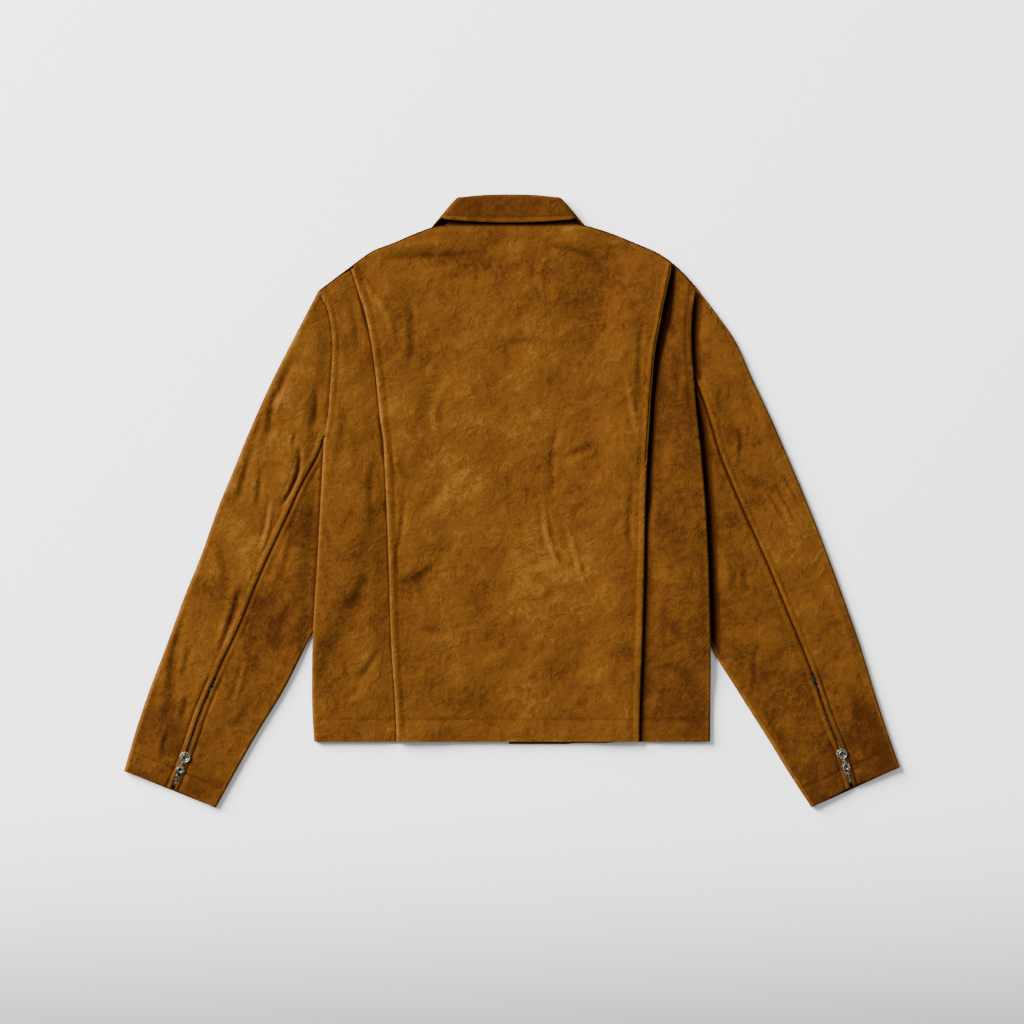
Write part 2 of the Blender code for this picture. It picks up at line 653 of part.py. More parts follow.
def collar_section(width, fall):
    """Across the collar: distance from the fold and depth under the outer layer, fall or stand."""
    radius = COLLAR_FOLD_SEP / 2
    if not fall:
        start = HALF + radius + 4 * SEAM
        return [(mix(start, width, share), COLLAR_FOLD_SEP) for share in (0, 0.5, 1)]
    leg = [(mix(width, HALF + radius, share), 0.0) for share in (0, 0.3, 0.65, 0.9)]
    turn = [pi * step / FOLD_STEPS for step in range(FOLD_STEPS + 1)]
    roll = [(HALF + radius - radius * sin(angle), radius - radius * cos(angle)) for angle in turn]
    return leg + roll


def collar_half(side, fall):
    """Rows of points along half the collar, from its middle to the centre front."""
    sign = SIGN[side]
    slant = Vector((sign * COLLAR_SLANT[0], COLLAR_SLANT[1])).normalized()
    outwards = Vector((-slant.y * sign, slant.x * sign))
    radius = (COLLAR_HIGH - HALF) / 2
    corner = Vector((COLLAR_MIDDLE_X + sign * COLLAR_TOP_HALF, COLLAR_TOP_Y))
    if outwards.x * sign < 0:
        outwards = -outwards
    fold_end = corner - outwards * (radius + HALF)
    rows = []
    for step in range(COLLAR_BACK_STEPS):
        share = step / COLLAR_BACK_STEPS
        fold = Vector((mix(COLLAR_MIDDLE_X, fold_end.x, share),
                       mix(fold_end.y, COLLAR_TOP_Y + COLLAR_CROWN, 1 - share ** 2.4)))
        edge_end = fold_end + slant * COLLAR_SIDE_WIDTH
        free = Vector((mix(COLLAR_MIDDLE_X, edge_end.x, share),
                       mix(COLLAR_EDGE_Y, edge_end.y, share ** 2)))
        across = (free - fold).normalized()
        width = (free - fold).length
        reach = width if fall else (fold.y - NECK_Y - SEAM) / -across.y
        rows.append([(*(fold + across * a), COLLAR_HIGH - (COLLAR_HIGH - COLLAR_LOW) * a / width - b)
                     for a, b in collar_section(reach, fall)])
    reach = COLLAR_SIDE_WIDTH if fall else STAND_SIDE_WIDTH
    for step in range(COLLAR_TURN_STEPS + 1):
        angle = pi * step / COLLAR_TURN_STEPS
        row = []
        for a, b in collar_section(reach, fall):
            high = COLLAR_HIGH - (COLLAR_HIGH - COLLAR_LOW) * a / COLLAR_SIDE_WIDTH
            turn = (high - HALF) / 2 - b
            place = fold_end + slant * a + outwards * (turn * sin(angle))
            row.append((*place, (high + HALF) / 2 + turn * cos(angle)))
        rows.append(row)
    edge_end = fold_end + slant * COLLAR_SIDE_WIDTH
    fold_line = [tuple(fold_end)] + COLLAR_FOLD_FRONT[side][1:]
    edge_line = [tuple(edge_end)] + COLLAR_EDGE_FRONT[side][1:]
    for step in range(1, COLLAR_FRONT_STEPS + 1):
        share = step / COLLAR_FRONT_STEPS
        fold = Vector(curve_at(fold_line, share))
        free = Vector(curve_at(edge_line, share))
        across = (free - fold).normalized()
        if fall:
            rows.append([(*(fold + across * a), HALF + b)
                         for a, b in collar_section((free - fold).length, fall)])
            continue
        start = fold + across * (HALF + COLLAR_FOLD_SEP / 2 + 4 * SEAM)
        neck = Vector(curve_at(NECKLINE[side], share))
        neck += (start - neck).normalized() * 2 * SEAM
        rows.append([(*start.lerp(neck, part), HALF + COLLAR_FOLD_SEP) for part in (0, 0.5, 1)])
    return rows


def collar_piece(name, fall, look, group):
    left = collar_half("left", fall)
    right = collar_half("right", fall)
    return cloth(name, [left[:0:-1] + right], look, group)


# ---------------------------------------------------------------- zips
TAPE = 0.6                  # thickness of the zip's woven tape
TAPE_IN, TAPE_OUT = 4.5, 13.0
TAPE_DROP = 1.6             # tape's middle from the middle of the cloth it is sewn to
CHAIN_HALF = 1.0            # half the chain's width, the teeth themselves are finer work
SLIDER_HALF, SLIDER_TAIL, SLIDER_NOSE = 3.9, 10.5, 4.5
PIVOT_RISE = 2.2            # pull's hinge over the middle of the cloth at the cuff
BODY_TOP, BODY_BOTTOM = -1.3, -4.9      # slider's plates, from the hinge
ARCH_HALF, ARCH_END, ARCH_POST = 1.0, 4.2, 1.2
ARCH_CLEAR, ARCH_TOP = 1.1, 1.9
PULL_HALF_THICK = 0.6
PULL_BAR = 0.7              # half the bar that turns under the slider's arch
PULL_SLOT, PULL_SLOT_HALF, PULL_HEAD_HALF = 6.2, 1.5, 3.1
PULL_WAIST_Y, PULL_WAIST_HALF = 10.0, 6.0
PULL_DISC_Y, PULL_DISC = 27.0, 6.9
PULL_NECK_HALF = 2.6
PULL_EYES = [(10.0, 2.0), (27.0, 2.6)]  # distance from the hinge and radius of its round holes
CUFF_SLIDER_AT = 15.0       # slider's hinge, from the cuff's edge
FRONT_SLIDER_Y = 250.0
FRONT_PIVOT_Z = 2.1


def arc(centre_y, radius, start, end, steps):
    angles = [start + (end - start) * step / steps for step in range(steps + 1)]
    return [(radius * cos(angle), centre_y + radius * sin(angle)) for angle in angles]


def plate(name, loops, half_thickness):
    """A flat plate from its outline and holes, as mesh data."""
    shape = bpy.data.curves.new(name, "CURVE")
    shape.dimensions = "2D"
    shape.fill_mode = "BOTH"
    shape.extrude = half_thickness * MM
    for loop in loops:
        line = shape.splines.new("POLY")
        line.points.add(len(loop) - 1)
        for point, (x, y) in zip(line.points, loop):
            point.co = (x * MM, y * MM, 0, 1)
        line.use_cyclic_u = True
    holder = bpy.data.objects.new(name, shape)
    bpy.context.scene.collection.objects.link(holder)
    bpy.context.view_layer.update()
    data = bpy.data.meshes.new_from_object(holder.evaluated_get(bpy.context.evaluated_depsgraph_get()))
    bpy.data.objects.remove(holder)
    form = bmesh.new()
    form.from_mesh(data)
    bmesh.ops.remove_doubles(form, verts=form.verts, dist=0.00001)
    bmesh.ops.recalc_face_normals(form, faces=form.faces)
    form.to_mesh(data)
    form.free()
    return data


def pull_data(name):
    """A flat zip pull: slotted head, diamond waist with an eye, round end with a larger eye."""
    neck_turn = sin_inverse(PULL_NECK_HALF / PULL_DISC)
    disc = arc(PULL_DISC_Y, PULL_DISC, -pi / 2 + neck_turn, 3 * pi / 2 - neck_turn, 20)
    right_side = [(PULL_HEAD_HALF, -PULL_BAR), (PULL_HEAD_HALF, PULL_SLOT - 1.5),
                  (PULL_WAIST_HALF, PULL_WAIST_Y), (PULL_NECK_HALF, PULL_WAIST_Y + 6)]
    left_side = [(-x, y) for x, y in right_side[::-1]]
    slot = [(-PULL_SLOT_HALF, PULL_BAR), (PULL_SLOT_HALF, PULL_BAR),
            (PULL_SLOT_HALF, PULL_SLOT), (-PULL_SLOT_HALF, PULL_SLOT)]
    eyes = [arc(y, radius, 0, 2 * pi * 11 / 12, 11) for y, radius in PULL_EYES]
    return plate(name, [right_side + disc + left_side, slot] + eyes, PULL_HALF_THICK)


def sin_inverse(value):
    return float(np.arcsin(value))


def local_frame(pivot, along, upwards):
    """World matrix of a zip's hinge: its X is the hinge, Y runs along the pull, Z away from the cloth."""
    hinge = along.cross(upwards)
    turn = Matrix((hinge, along, upwards)).transposed().to_4x4()
    return Matrix.Translation(pivot * MM) @ turn


def slider(name, frame, look, group, spare):
    """A zip slider: its body, and the arch that the pull's bar turns under."""
    body = plate(name, [[(-SLIDER_HALF, SLIDER_NOSE - 2), (-SLIDER_HALF + 1.4, SLIDER_NOSE),
                         (SLIDER_HALF - 1.4, SLIDER_NOSE), (SLIDER_HALF, SLIDER_NOSE - 2),
                         (SLIDER_HALF - 0.9, -SLIDER_TAIL), (-SLIDER_HALF + 0.9, -SLIDER_TAIL)]],
                 (BODY_TOP - BODY_BOTTOM) / 2)
    body.transform(Matrix.Translation((0, 0, (BODY_TOP + BODY_BOTTOM) / 2 * MM)))
    root = BODY_TOP - 0.6
    arch = plate(name + "_arch", [[
        (-ARCH_END, root), (-ARCH_END + ARCH_POST, root), (-ARCH_END + ARCH_POST, ARCH_CLEAR),
        (ARCH_END - ARCH_POST, ARCH_CLEAR), (ARCH_END - ARCH_POST, root), (ARCH_END, root),
        (ARCH_END - 0.4, ARCH_TOP), (-ARCH_END + 0.4, ARCH_TOP)]], ARCH_HALF)
    arch.transform(Matrix(((0, 0, 1, 0), (1, 0, 0, 0), (0, 1, 0, 0), (0, 0, 0, 1))))
    made = object_from(name, body, look, group)
    made.matrix_world = frame
    loop = object_from(name + "_arch", arch, look, spare)
    loop.matrix_world = frame
    loop.hide_render = True
    loop.display_type = "WIRE"
    join = made.modifiers.new("arch", "BOOLEAN")
    join.operation = "UNION"
    join.object = loop
    return made


def zip_path(points, offset, drop):
    """A line beside the zip's middle line, moved sideways and down from the cloth's middle."""
    moved = []
    for i, point in enumerate(points):
        run = Vector(points[min(i + 1, len(points) - 1)][:2]) - Vector(points[max(i - 1, 0)][:2])
        across = Vector((run.y, -run.x)).normalized()
        moved.append((point[0] + across.x * offset, point[1] + across.y * offset, point[2] - drop))
    return moved


def zip_chain(name, points, faces_up, look, group):
    """The closed chain, teeth and corded edges in one bar, swept along the zip's line."""
    drop = TAPE_DROP * faces_up
    web = TAPE / 2
    section = [(-TAPE_IN + SEAM, -web), (-TAPE_IN + SEAM, web), (-CHAIN_HALF, web),
               (-CHAIN_HALF, 1.9), (CHAIN_HALF, 1.9), (CHAIN_HALF, web),
               (TAPE_IN - SEAM, web), (TAPE_IN - SEAM, -web), (CHAIN_HALF, -web),
               (CHAIN_HALF, -0.7), (-CHAIN_HALF, -0.7), (-CHAIN_HALF, -web)]
    form = bmesh.new()
    rings = []
    sides = [zip_path(points, x, drop - z * faces_up) for x, z in section]
    for ring in zip(*sides):
        rings.append([form.verts.new(Vector(point) * MM) for point in ring])
    count = len(section)
    for here, after in zip(rings, rings[1:]):
        for i in range(count):
            form.faces.new((here[i], here[(i + 1) % count], after[(i + 1) % count], after[i]))
    form.faces.new(rings[0])
    form.faces.new(rings[-1])
    bmesh.ops.recalc_face_normals(form, faces=form.faces)
    bmesh.ops.triangulate(form, faces=[face for face in form.faces if len(face.verts) > 4])
    data = bpy.data.meshes.new(name)
    form.to_mesh(data)
    form.free()
    return object_from(name, data, look, group)


def zip_tapes(name, points, faces_up, look, group):
    for part, offsets in (("a", (-TAPE_OUT, -TAPE_IN)), ("b", (TAPE_IN, TAPE_OUT))):
        grid = [zip_path(points, offset, TAPE_DROP * faces_up) for offset in offsets]
        cloth(f"{name}_tape_{part}", [grid], look, group, thickness=TAPE)


def cuff_zip(side, tape, metal, group, spare):
    """The zip of a cuff's opening, closed down to its slider, with the pull lying up the sleeve."""
    name = "cuff_zip_" + side
    shares = [mix(share, 1, 0.02) for share in sleeve_shares(side)[ROWS_ABOVE_ZIP + 1:-1]]
    shares.append(0.998)
    line = []
    for share in shares:
        out, y = sleeve_line(side, "elbow", share)
        line.append(placed(side, (out, y), sleeve_z(side, out, y)))
    end = Vector(line[-1])
    along = (Vector(line[-3]) - end)
    along.z = 0
    along.normalize()
    pivot = end + along * CUFF_SLIDER_AT
    pivot.z = HALF + SLEEVE_SEP + PIVOT_RISE
    stop = (pivot + along * (SLIDER_NOSE + SEAM)).xy
    closed = [point for point in line if (Vector(point[:2]) - stop).dot(along.xy) > 2]
    closed.append((*stop, line[-1][2]))
    zip_tapes(name, line, 1, tape, group)
    zip_chain(name + "_chain", closed, 1, metal, group)
    frame = local_frame(pivot, along, Vector((0, 0, 1)))
    slider(name + "_slider", frame, metal, group, spare)
    pull = object_from(name + "_pull", pull_data(name + "_pull"), metal, group)
    pull.matrix_world = frame


def front_zip(tape, metal, group, spare):
    """The front zip, hidden underneath, closed up to the neck with its pull hanging down."""
    heights = [HEM_Y + 2] + FRONT_EDGE_Y[1:-1] + [FRONT_TOP_Y - 5]
    line = [(FRONT_LINE_X, y, front_z("left", -FRONT_LINE_X, y)) for y in heights]
    pivot = Vector((FRONT_LINE_X, FRONT_SLIDER_Y, FRONT_PIVOT_Z))
    stop = FRONT_SLIDER_Y - SLIDER_NOSE - SEAM
    closed = [point for point in line if point[1] < stop - 2]
    closed.append((FRONT_LINE_X, stop, front_z("left", -FRONT_LINE_X, stop)))
    zip_tapes("front_zip", line, -1, tape, group)
    zip_chain("front_zip_chain", closed, -1, metal, group)
    frame = local_frame(pivot, Vector((0, -1, 0)), Vector((0, 0, -1)))
    slider("front_zip_slider", frame, metal, group, spare)
    pull = object_from("front_zip_pull", pull_data("front_zip_pull"), metal, group)
    pull.matrix_world = frame


# ---------------------------------------------------------------- the jacket
clear_scene()
jacket = collection("suede_jacket")
cutters = collection("cutters")
suede = material("suede", (0.215, 0.072, 0.006), 0.95, 0.0)
zip_tape = material("zip_tape", (0.06, 0.03, 0.012), 0.9, 0.0)
nickel = material("antique_nickel", (0.42, 0.40, 0.33), 0.38, 1.0)

back_centre(suede, jacket)
for side_name in SIGN:
    front(side_name, suede, jacket)
    back_side(side_name, suede, jacket)
    sleeve_top(side_name, suede, jacket)
    sleeve_under(side_name, suede, jacket)
    cuff_zip(side_name, zip_tape, nickel, jacket, cutters)
collar_piece("collar_fall", True, suede, jacket)
collar_piece("collar_stand", False, suede, jacket)
front_zip(zip_tape, nickel, jacket, cutters)
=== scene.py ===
"""A suede jacket laid face down on a pale studio table, back up, sleeves spread, collar at the top.

Sizes in the tables are in millimetres: X towards the wearer's right, Y towards the collar, Z up.
"""

from math import cos, pi, radians, sin

import bmesh
import bpy
import numpy as np
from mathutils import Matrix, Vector
from mathutils.bvhtree import BVHTree


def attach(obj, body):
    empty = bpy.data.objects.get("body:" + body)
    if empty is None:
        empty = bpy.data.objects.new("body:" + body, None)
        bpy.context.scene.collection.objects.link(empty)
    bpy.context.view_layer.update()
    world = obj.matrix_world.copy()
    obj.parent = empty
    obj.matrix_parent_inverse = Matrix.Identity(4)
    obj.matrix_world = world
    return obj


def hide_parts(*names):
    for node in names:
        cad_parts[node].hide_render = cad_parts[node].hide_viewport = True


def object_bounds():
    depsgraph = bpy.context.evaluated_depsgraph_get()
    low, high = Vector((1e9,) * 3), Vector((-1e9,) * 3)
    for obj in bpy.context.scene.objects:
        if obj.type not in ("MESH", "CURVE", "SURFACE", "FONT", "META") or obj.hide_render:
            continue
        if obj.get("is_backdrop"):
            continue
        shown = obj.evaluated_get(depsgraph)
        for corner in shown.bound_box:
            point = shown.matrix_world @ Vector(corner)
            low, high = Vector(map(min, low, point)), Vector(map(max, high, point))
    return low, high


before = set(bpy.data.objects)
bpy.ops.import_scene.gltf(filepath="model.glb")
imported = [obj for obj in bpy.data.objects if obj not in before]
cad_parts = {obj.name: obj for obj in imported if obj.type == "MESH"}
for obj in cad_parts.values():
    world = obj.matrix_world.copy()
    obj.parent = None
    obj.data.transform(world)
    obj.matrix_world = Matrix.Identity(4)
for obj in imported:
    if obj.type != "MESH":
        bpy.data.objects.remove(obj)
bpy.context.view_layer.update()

# ---------------------------------------------------------------- table, light and camera
# The jacket lies on a pale table painted darker towards its near edge, as shade. One large soft lamp
# stands beyond the left shoulder, a weaker one opposite, and the camera looks straight down through a long
# lens.
FIELD_WIDTH, CAMERA_HEIGHT, VIEW_CENTRE_Y, SENSOR_WIDTH = 1.28, 7.0, -0.0131, 36
KEY = dict(place=(-5.4, 3.9, 3.5), size=5.5, power=4700)
FILL = dict(place=(1.7, 0.9, 2.2), size=2.4, power=24)
SKY_STRENGTH = 0.42


def put(name, data):
    """An object for a mesh, lamp, camera or curve, in the scene."""
    made = bpy.data.objects.new(name, data)
    bpy.context.scene.collection.objects.link(made)
    return made


def new_look(name, roughness, shine=0.5):
    """A new material, with its nodes, its link function and its shader."""
    look = bpy.data.materials.new(name)
    look.use_nodes = True
    shader = look.node_tree.nodes["Principled BSDF"]
    shader.inputs["Roughness"].default_value = roughness
    shader.inputs["Specular IOR Level"].default_value = shine
    return look, look.node_tree.nodes, look.node_tree.links.new, shader


table_mesh = bpy.data.meshes.new("table")
table_mesh.from_pydata([(-4, -4, 0), (4, -4, 0), (4, 4, 0), (-4, 4, 0)], [], [(0, 1, 2, 3)])
table_top = put("table", table_mesh)
paper, paper_nodes, paper_link, paper_shader = new_look("pale_paper", 0.9)
paper_place, paper_axes = paper_nodes.new("ShaderNodeTexCoord"), paper_nodes.new("ShaderNodeSeparateXYZ")
# painted shade: the paper's colour darkens towards the table's near edge, where the light falls off
paper_shade_fall, paper_shaded_tone = paper_nodes.new("ShaderNodeMapRange"), paper_nodes.new("ShaderNodeMix")
paper_shade_fall.interpolation_type = "SMOOTHSTEP"      # the paper darkens towards the table's near edge
paper_shade_fall.inputs["From Min"].default_value, paper_shade_fall.inputs["From Max"].default_value = -0.35, -0.74
paper_shaded_tone.data_type = "RGBA"
paper_shaded_tone.inputs["A"].default_value = (0.80, 0.80, 0.803, 1)
paper_shaded_tone.inputs["B"].default_value = (0.21, 0.21, 0.212, 1)
paper_link(paper_place.outputs["Object"], paper_axes.inputs["Vector"])
paper_link(paper_axes.outputs["Y"], paper_shade_fall.inputs["Value"])
paper_link(paper_shade_fall.outputs["Result"], paper_shaded_tone.inputs["Factor"])
paper_link(paper_shaded_tone.outputs["Result"], paper_shader.inputs["Base Color"])
table_mesh.materials.append(paper)
table_top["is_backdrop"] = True

for lamp_name, lamp in (("key", KEY), ("fill", FILL)):
    light = bpy.data.lights.new(lamp_name, "AREA")
    light.shape = "DISK"
    light.size = lamp["size"]
    light.energy = lamp["power"]
    light_object = put(lamp_name, light)
    light_object.location = lamp["place"]
    light_object.rotation_euler = (-Vector(lamp["place"])).to_track_quat("-Z", "Y").to_euler()

sky = bpy.data.worlds.new("studio")
sky.use_nodes = True
sky.node_tree.nodes["Background"].inputs["Color"].default_value = (1, 1, 1, 1)
sky.node_tree.nodes["Background"].inputs["Strength"].default_value = SKY_STRENGTH
bpy.context.scene.world = sky

lens = bpy.data.cameras.new("camera")
lens.sensor_width = SENSOR_WIDTH
lens.lens = SENSOR_WIDTH * CAMERA_HEIGHT / FIELD_WIDTH
camera = put("camera", lens)
camera.location = (0, VIEW_CENTRE_Y, CAMERA_HEIGHT)
bpy.context.scene.camera = camera

# ---------------------------------------------------------------- centre back
# One panel of suede, split hide with its nap outwards, from the hem to the shoulder and neck seams.
# Its two side edges are turned under and topstitched, and lie free on the side backs as pleats.
MM = 0.001
HALF, SEAM, LAYER, SIDE_LAYER, LOFT = 1.0, 0.4, 2.4, 3.0, 6.3
TUCK_LIFT, COLLAR_LIFT, PLEAT_STACK, PLEAT_FOLD = 5.8, 3.2, 8.3, 2.9
HEM_Y, ARMPIT_Y, ARM_TOP_Y, NECK_Y, NECK_Z = -300.0, 80.0, 256.0, 353.0, 6.2
FRONT_LINE_X, FRONT_SLIDER_Y = -8.0, 250.0
FINE = 2.4                  # grid of the cloth that shows
SIDE_TURN = 14.0            # the side back runs this far round under the body
SHOULDER_CORNER = np.array([-0.73, -0.68])      # way in from the outline at the shoulder's outer end
CREASE_DEPTH = 1.35         # all creases' heights are scaled by this
ROLL_POINTS = 60            # points along the shoulder's fold
YOKE_Z = 8.0                # middle of the centre back's wall just below the collar
SIGN = {"left": -1.0, "right": 1.0}

BODY_ROWS = {               # height; distance out from X = 0 of the side edge, and of the pleat's edge
    "left": [(-300, 247.5, 144), (-250, 250, 146), (-173, 249, 151), (-73, 243, 154), (2, 239, 157),
             (66, 235.5, 160), (80, 234.5, 161), (105, 230, 165), (130, 228, 167.5), (156, 226, 170),
             (180, 224.5, 173), (203, 224.5, 176.5), (225, 227, 181), (243, 231.5, 185.5),
             (256, 238, 190), (290, 242, 201)],
    "right": [(-300, 247.5, 159), (-250, 248, 160), (-173, 248, 163), (-73, 245.5, 165.5),
              (2, 241.5, 167), (66, 236, 170), (80, 234, 171), (105, 231, 172.5), (130, 229, 174),
              (156, 227, 176), (180, 225, 178), (203, 224, 181.5), (225, 224.5, 186), (243, 226, 189),
              (256, 228, 192), (294, 231, 200)]}
SHOULDER = {                # outline from the neck to the armhole
    "left": [(86, 345), (101, 342.5), (124, 334), (147, 324), (173, 314), (189, 303.5), (203, 293),
             (223, 278), (241.9, 263.6)],
    "right": [(85, 346), (100, 343), (125, 335), (152, 324), (176, 314), (190, 306), (202, 297),
              (217, 283), (230.5, 267.7)]}
PLEAT_TOP_AT = {"left": 0.716, "right": 0.766}      # share of the shoulder outline at the pleat's top
SLEEVE_INNER = {            # sleeve's inner edge, tucked under the side, from the armpit to the cuff
    "left": [(207, 33), (206.5, 13), (206.5, -7), (207.5, -27), (210, -47), (214, -67), (229, -123),
             (257.5, -180.5), (285, -235.5), (317, -288), (344, -335.5), (370, -383)],
    "right": [(207, 29), (206, 13), (205.5, -2), (206, -17), (208.5, -32), (212.5, -48), (231, -114),
              (249, -181), (281, -235.5), (318, -294), (345, -338), (374, -382.5)]}
FRONT_ARMHOLE = [(33, 214), (60, 210), (105, 210), (150, 212), (200, 216.5), (240, 224), (256, 230)]
COLLAR_LEAF = {             # outline of the collar's front leaf, under the back
    "left": [(-62, 372), (-50, 335), (-12, 290), (-46, 226), (-82, 290), (-87, 344)],
    "right": [(56, 372), (40, 335), (-4, 290), (30, 226), (70, 290), (81, 344)]}

# each row of a table of creases: width, height (a trough is negative), the share of the height that
# stands the other way beside it, and points along the crease
BACK_CREASES = [
    (5, -1.7, -0.2, (-165, 301), (-111, 306), (-80, 307), (-28, 312)),
    (5, 1.0, 0.2, (-146, 316), (-104, 322), (-70, 320)),
    (5, -1.6, -0.3, (40, 320), (60, 316), (91, 309), (109, 297), (113, 284)),
    (5, 0.9, 0.2, (104, 324), (124, 323), (140, 318)),
    (4, 1.5, 0.2, (-194, 284), (-175, 264), (-161, 246), (-152, 225), (-146, 196)),
    (4, -1.3, 0.2, (-185, 281), (-165, 257), (-147, 247)),
    (5, -0.9, 0.3, (-128, 250), (-124, 210), (-126, 165)),
    (9, -0.7, 0.4, (-104, 300), (-80, 288), (-60, 291)),
    (2.6, -1.2, 0.2, (-158, 96), (-150, 52), (-143, 22)),
    (3.4, -1.2, 0.2, (-133, 8), (-138, -36), (-144, -66), (-144, -94)),
    (6, -2.1, -0.5, (-146, -108), (-131, -99), (-116, -99), (-94, -76)),
    (9, 0.8, 0.6, (-60, 30), (-86, -4), (-112, -32)),
    (4.5, -1.3, 0.4, (64, 52), (84, 62), (112, 78)),
    (3.4, -1.2, -0.3, (60, 100), (50, 60), (52, 6)),
    (3.6, 1.3, 0.3, (40, 12), (43, -34), (55, -73), (72, -100)),
    (3.6, 1.1, 0.3, (66, -20), (80, -64), (88, -96), (106, -120)),
    (3, 0.8, 0.6, (-12, 94), (8, 74)),
    (4, 0.8, 0.3, (44, 306), (34, 284), (40, 260)),
    (3, 1.0, 0.4, (142, 166), (150, 121), (157, 80)),
    (4, -1.0, 0.3, (163, 235), (160, 180), (158, 110)),
    (4, -1.0, 0.2, (154, 32), (147, -24), (150, -70)),
    (3, 0.7, 0.4, (-34, -118), (-10, -134), (14, -150)),
    (6, -0.7, 0.4, (-118, -160), (-88, -163), (-58, -160)),
    (5, -0.7, 0.4, (-20, -246), (4, -236), (36, -244)),
    (6, 0.6, 0.5, (84, -232), (112, -222), (132, -228)),
    (9, 0.7, 0.6, (-30, 200), (10, 214), (60, 204)),
    (6, 0.7, 0.5, (-80, 150), (-96, 110), (-90, 70)),
]


def smooth(start, end, value):
    """0 before the start and 1 beyond the end, with an eased rise between."""
    t = np.clip((value - start) / (end - start), 0.0, 1.0)
    return t * t * (3 - 2 * t)


def mix(first, second, share):
    """From the first value to the second as the share goes from 0 to 1."""
    return first + (second - first) * share


def upper(first, second, soften=0.8):
    """The higher of two heights, rounded where they cross."""
    return (first + second + np.sqrt((first - second) ** 2 + soften ** 2)) / 2


def hump(d, width, power=2):
    """1 where a distance is 0, falling softly to 0 on both sides."""
    return np.exp(-(d / width) ** power)


def unit(rows):
    """Each row at length 1."""
    return rows / np.linalg.norm(rows, axis=1)[:, None]


def bowed(points, steps=10):
    """A close line of points on a smooth curve through a few."""
    given = np.array(points, float)
    padded = np.vstack([given[0] * 2 - given[1], given, given[-1] * 2 - given[-2]])
    line = []
    for i in range(len(given) - 1):
        b, h, a, e = padded[i:i + 4]
        for t in np.arange(steps) / steps:
            line.append(0.5 * (2 * h + (a - b) * t + (2 * b - 5 * h + 4 * a - e) * t ** 2
                               + (3 * h - b - 3 * a + e) * t ** 3))
    line.append(given[-1])
    return np.array(line)


def travelled(line):
    """Distance travelled along a line at each of its points."""
    return np.concatenate([[0], np.cumsum(np.linalg.norm(np.diff(line, axis=0), axis=1))])


def read_off(line, at, places):
    """A line's points at new places, when at holds the places of its own."""
    return np.column_stack([np.interp(places, at, line[:, k]) for k in range(line.shape[1])])


def walk(line, count):
    """The same line in a given number of evenly spaced points."""
    line = np.asarray(line, float)
    at = travelled(line)
    return read_off(line, at, np.linspace(0, at[-1], count))


def reader(points):
    """A function that reads the distance out, at any height, from rows of (height, distance)."""
    line = bowed(sorted(points))
    return lambda y: np.interp(y, line[:, 0], line[:, 1])


edge_at = {side: reader([(y, edge) for y, edge, _ in BODY_ROWS[side]]) for side in SIGN}
pleat_at = {side: reader([(y, pleat) for y, _, pleat in BODY_ROWS[side]]) for side in SIGN}
front_armhole_at = reader(FRONT_ARMHOLE)
tuck_at = {side: reader([(y, x) for x, y in SLEEVE_INNER[side]] + [(ARMPIT_Y, 234.0)]) for side in SIGN}


def away_from(x, y, line):
    """Distance from points to a line of points, and the share of its length at the nearest place."""
    line = np.asarray(line, float)
    lengths = np.linalg.norm(np.diff(line, axis=0), axis=1)
    starts = np.concatenate([[0], np.cumsum(lengths)])
    best = np.full(np.shape(x), 1e9)
    share = np.zeros(np.shape(x))
    for i, length in enumerate(lengths):
        run = (line[i + 1] - line[i]) / max(length, 1e-9)
        t = np.clip((x - line[i, 0]) * run[0] + (y - line[i, 1]) * run[1], 0, length)
        d = np.hypot(x - line[i, 0] - run[0] * t, y - line[i, 1] - run[1] * t)
        nearer = d < best
        best = np.where(nearer, d, best)
        share = np.where(nearer, (starts[i] + t) / starts[-1], share)
    return best, share


def side_of(x, y, line):
    """+1 to the right of a line's start-to-end direction and -1 to its left."""
    start, end = np.asarray(line[0], float), np.asarray(line[-1], float)
    run = end - start
    return np.sign((x - start[0]) * run[1] - (y - start[1]) * run[0])


def outside(x, y, corners):
    """Distance to a flat shape, 0 inside it."""
    closed = list(corners) + [corners[0]]
    best, _ = away_from(x, y, closed)
    inside = np.zeros(np.shape(x), bool)
    for (ax, ay), (bx, by) in zip(closed, closed[1:]):
        crosses = (ay > y) != (by > y)
        at = ax + (y - ay) * (bx - ax) / (by - ay if by != ay else 1e-9)
        inside ^= crosses & (x < at)
    return np.where(inside, 0.0, best)


def seam_under(side, y):
    """Distance out of the seam between the side back and the front, under the body."""
    return mix(edge_at[side](y) - SIDE_TURN, front_armhole_at(y), smooth(5, 45, y))


def front_z(side, out, y):
    """Middle of the front's wall, on the table, the sleeve or the collar's leaf."""
    behind = tuck_at[side](y) - out
    tuck = TUCK_LIFT * (1 - smooth(12, 54, behind)) * (1 - smooth(85, 150, y))
    x = SIGN[side] * out
    near = np.minimum(outside(x, y, COLLAR_LEAF["left"]), outside(x, y, COLLAR_LEAF["right"]))
    zip_top = away_from(x, y, [(FRONT_LINE_X, 267), (FRONT_LINE_X, 214)])[0] - 10
    return HALF + np.maximum(tuck, COLLAR_LIFT * (1 - smooth(3, 32, np.minimum(near, zip_top))))


def creased(x, y, creases):
    """Height of a table of creases, each tapering to nothing at both ends."""
    total = np.zeros(np.shape(x))
    for width, height, ridge, *path in creases:
        line = bowed(path, 6)
        d, share = away_from(x, y, line)
        d = d * side_of(x, y, line)
        taper = np.sin(pi * np.clip(share, 0, 1)) ** 0.7
        total += height * taper * (hump(d, width) - ridge * hump(d - 1.7 * width, width))
    return total * CREASE_DEPTH


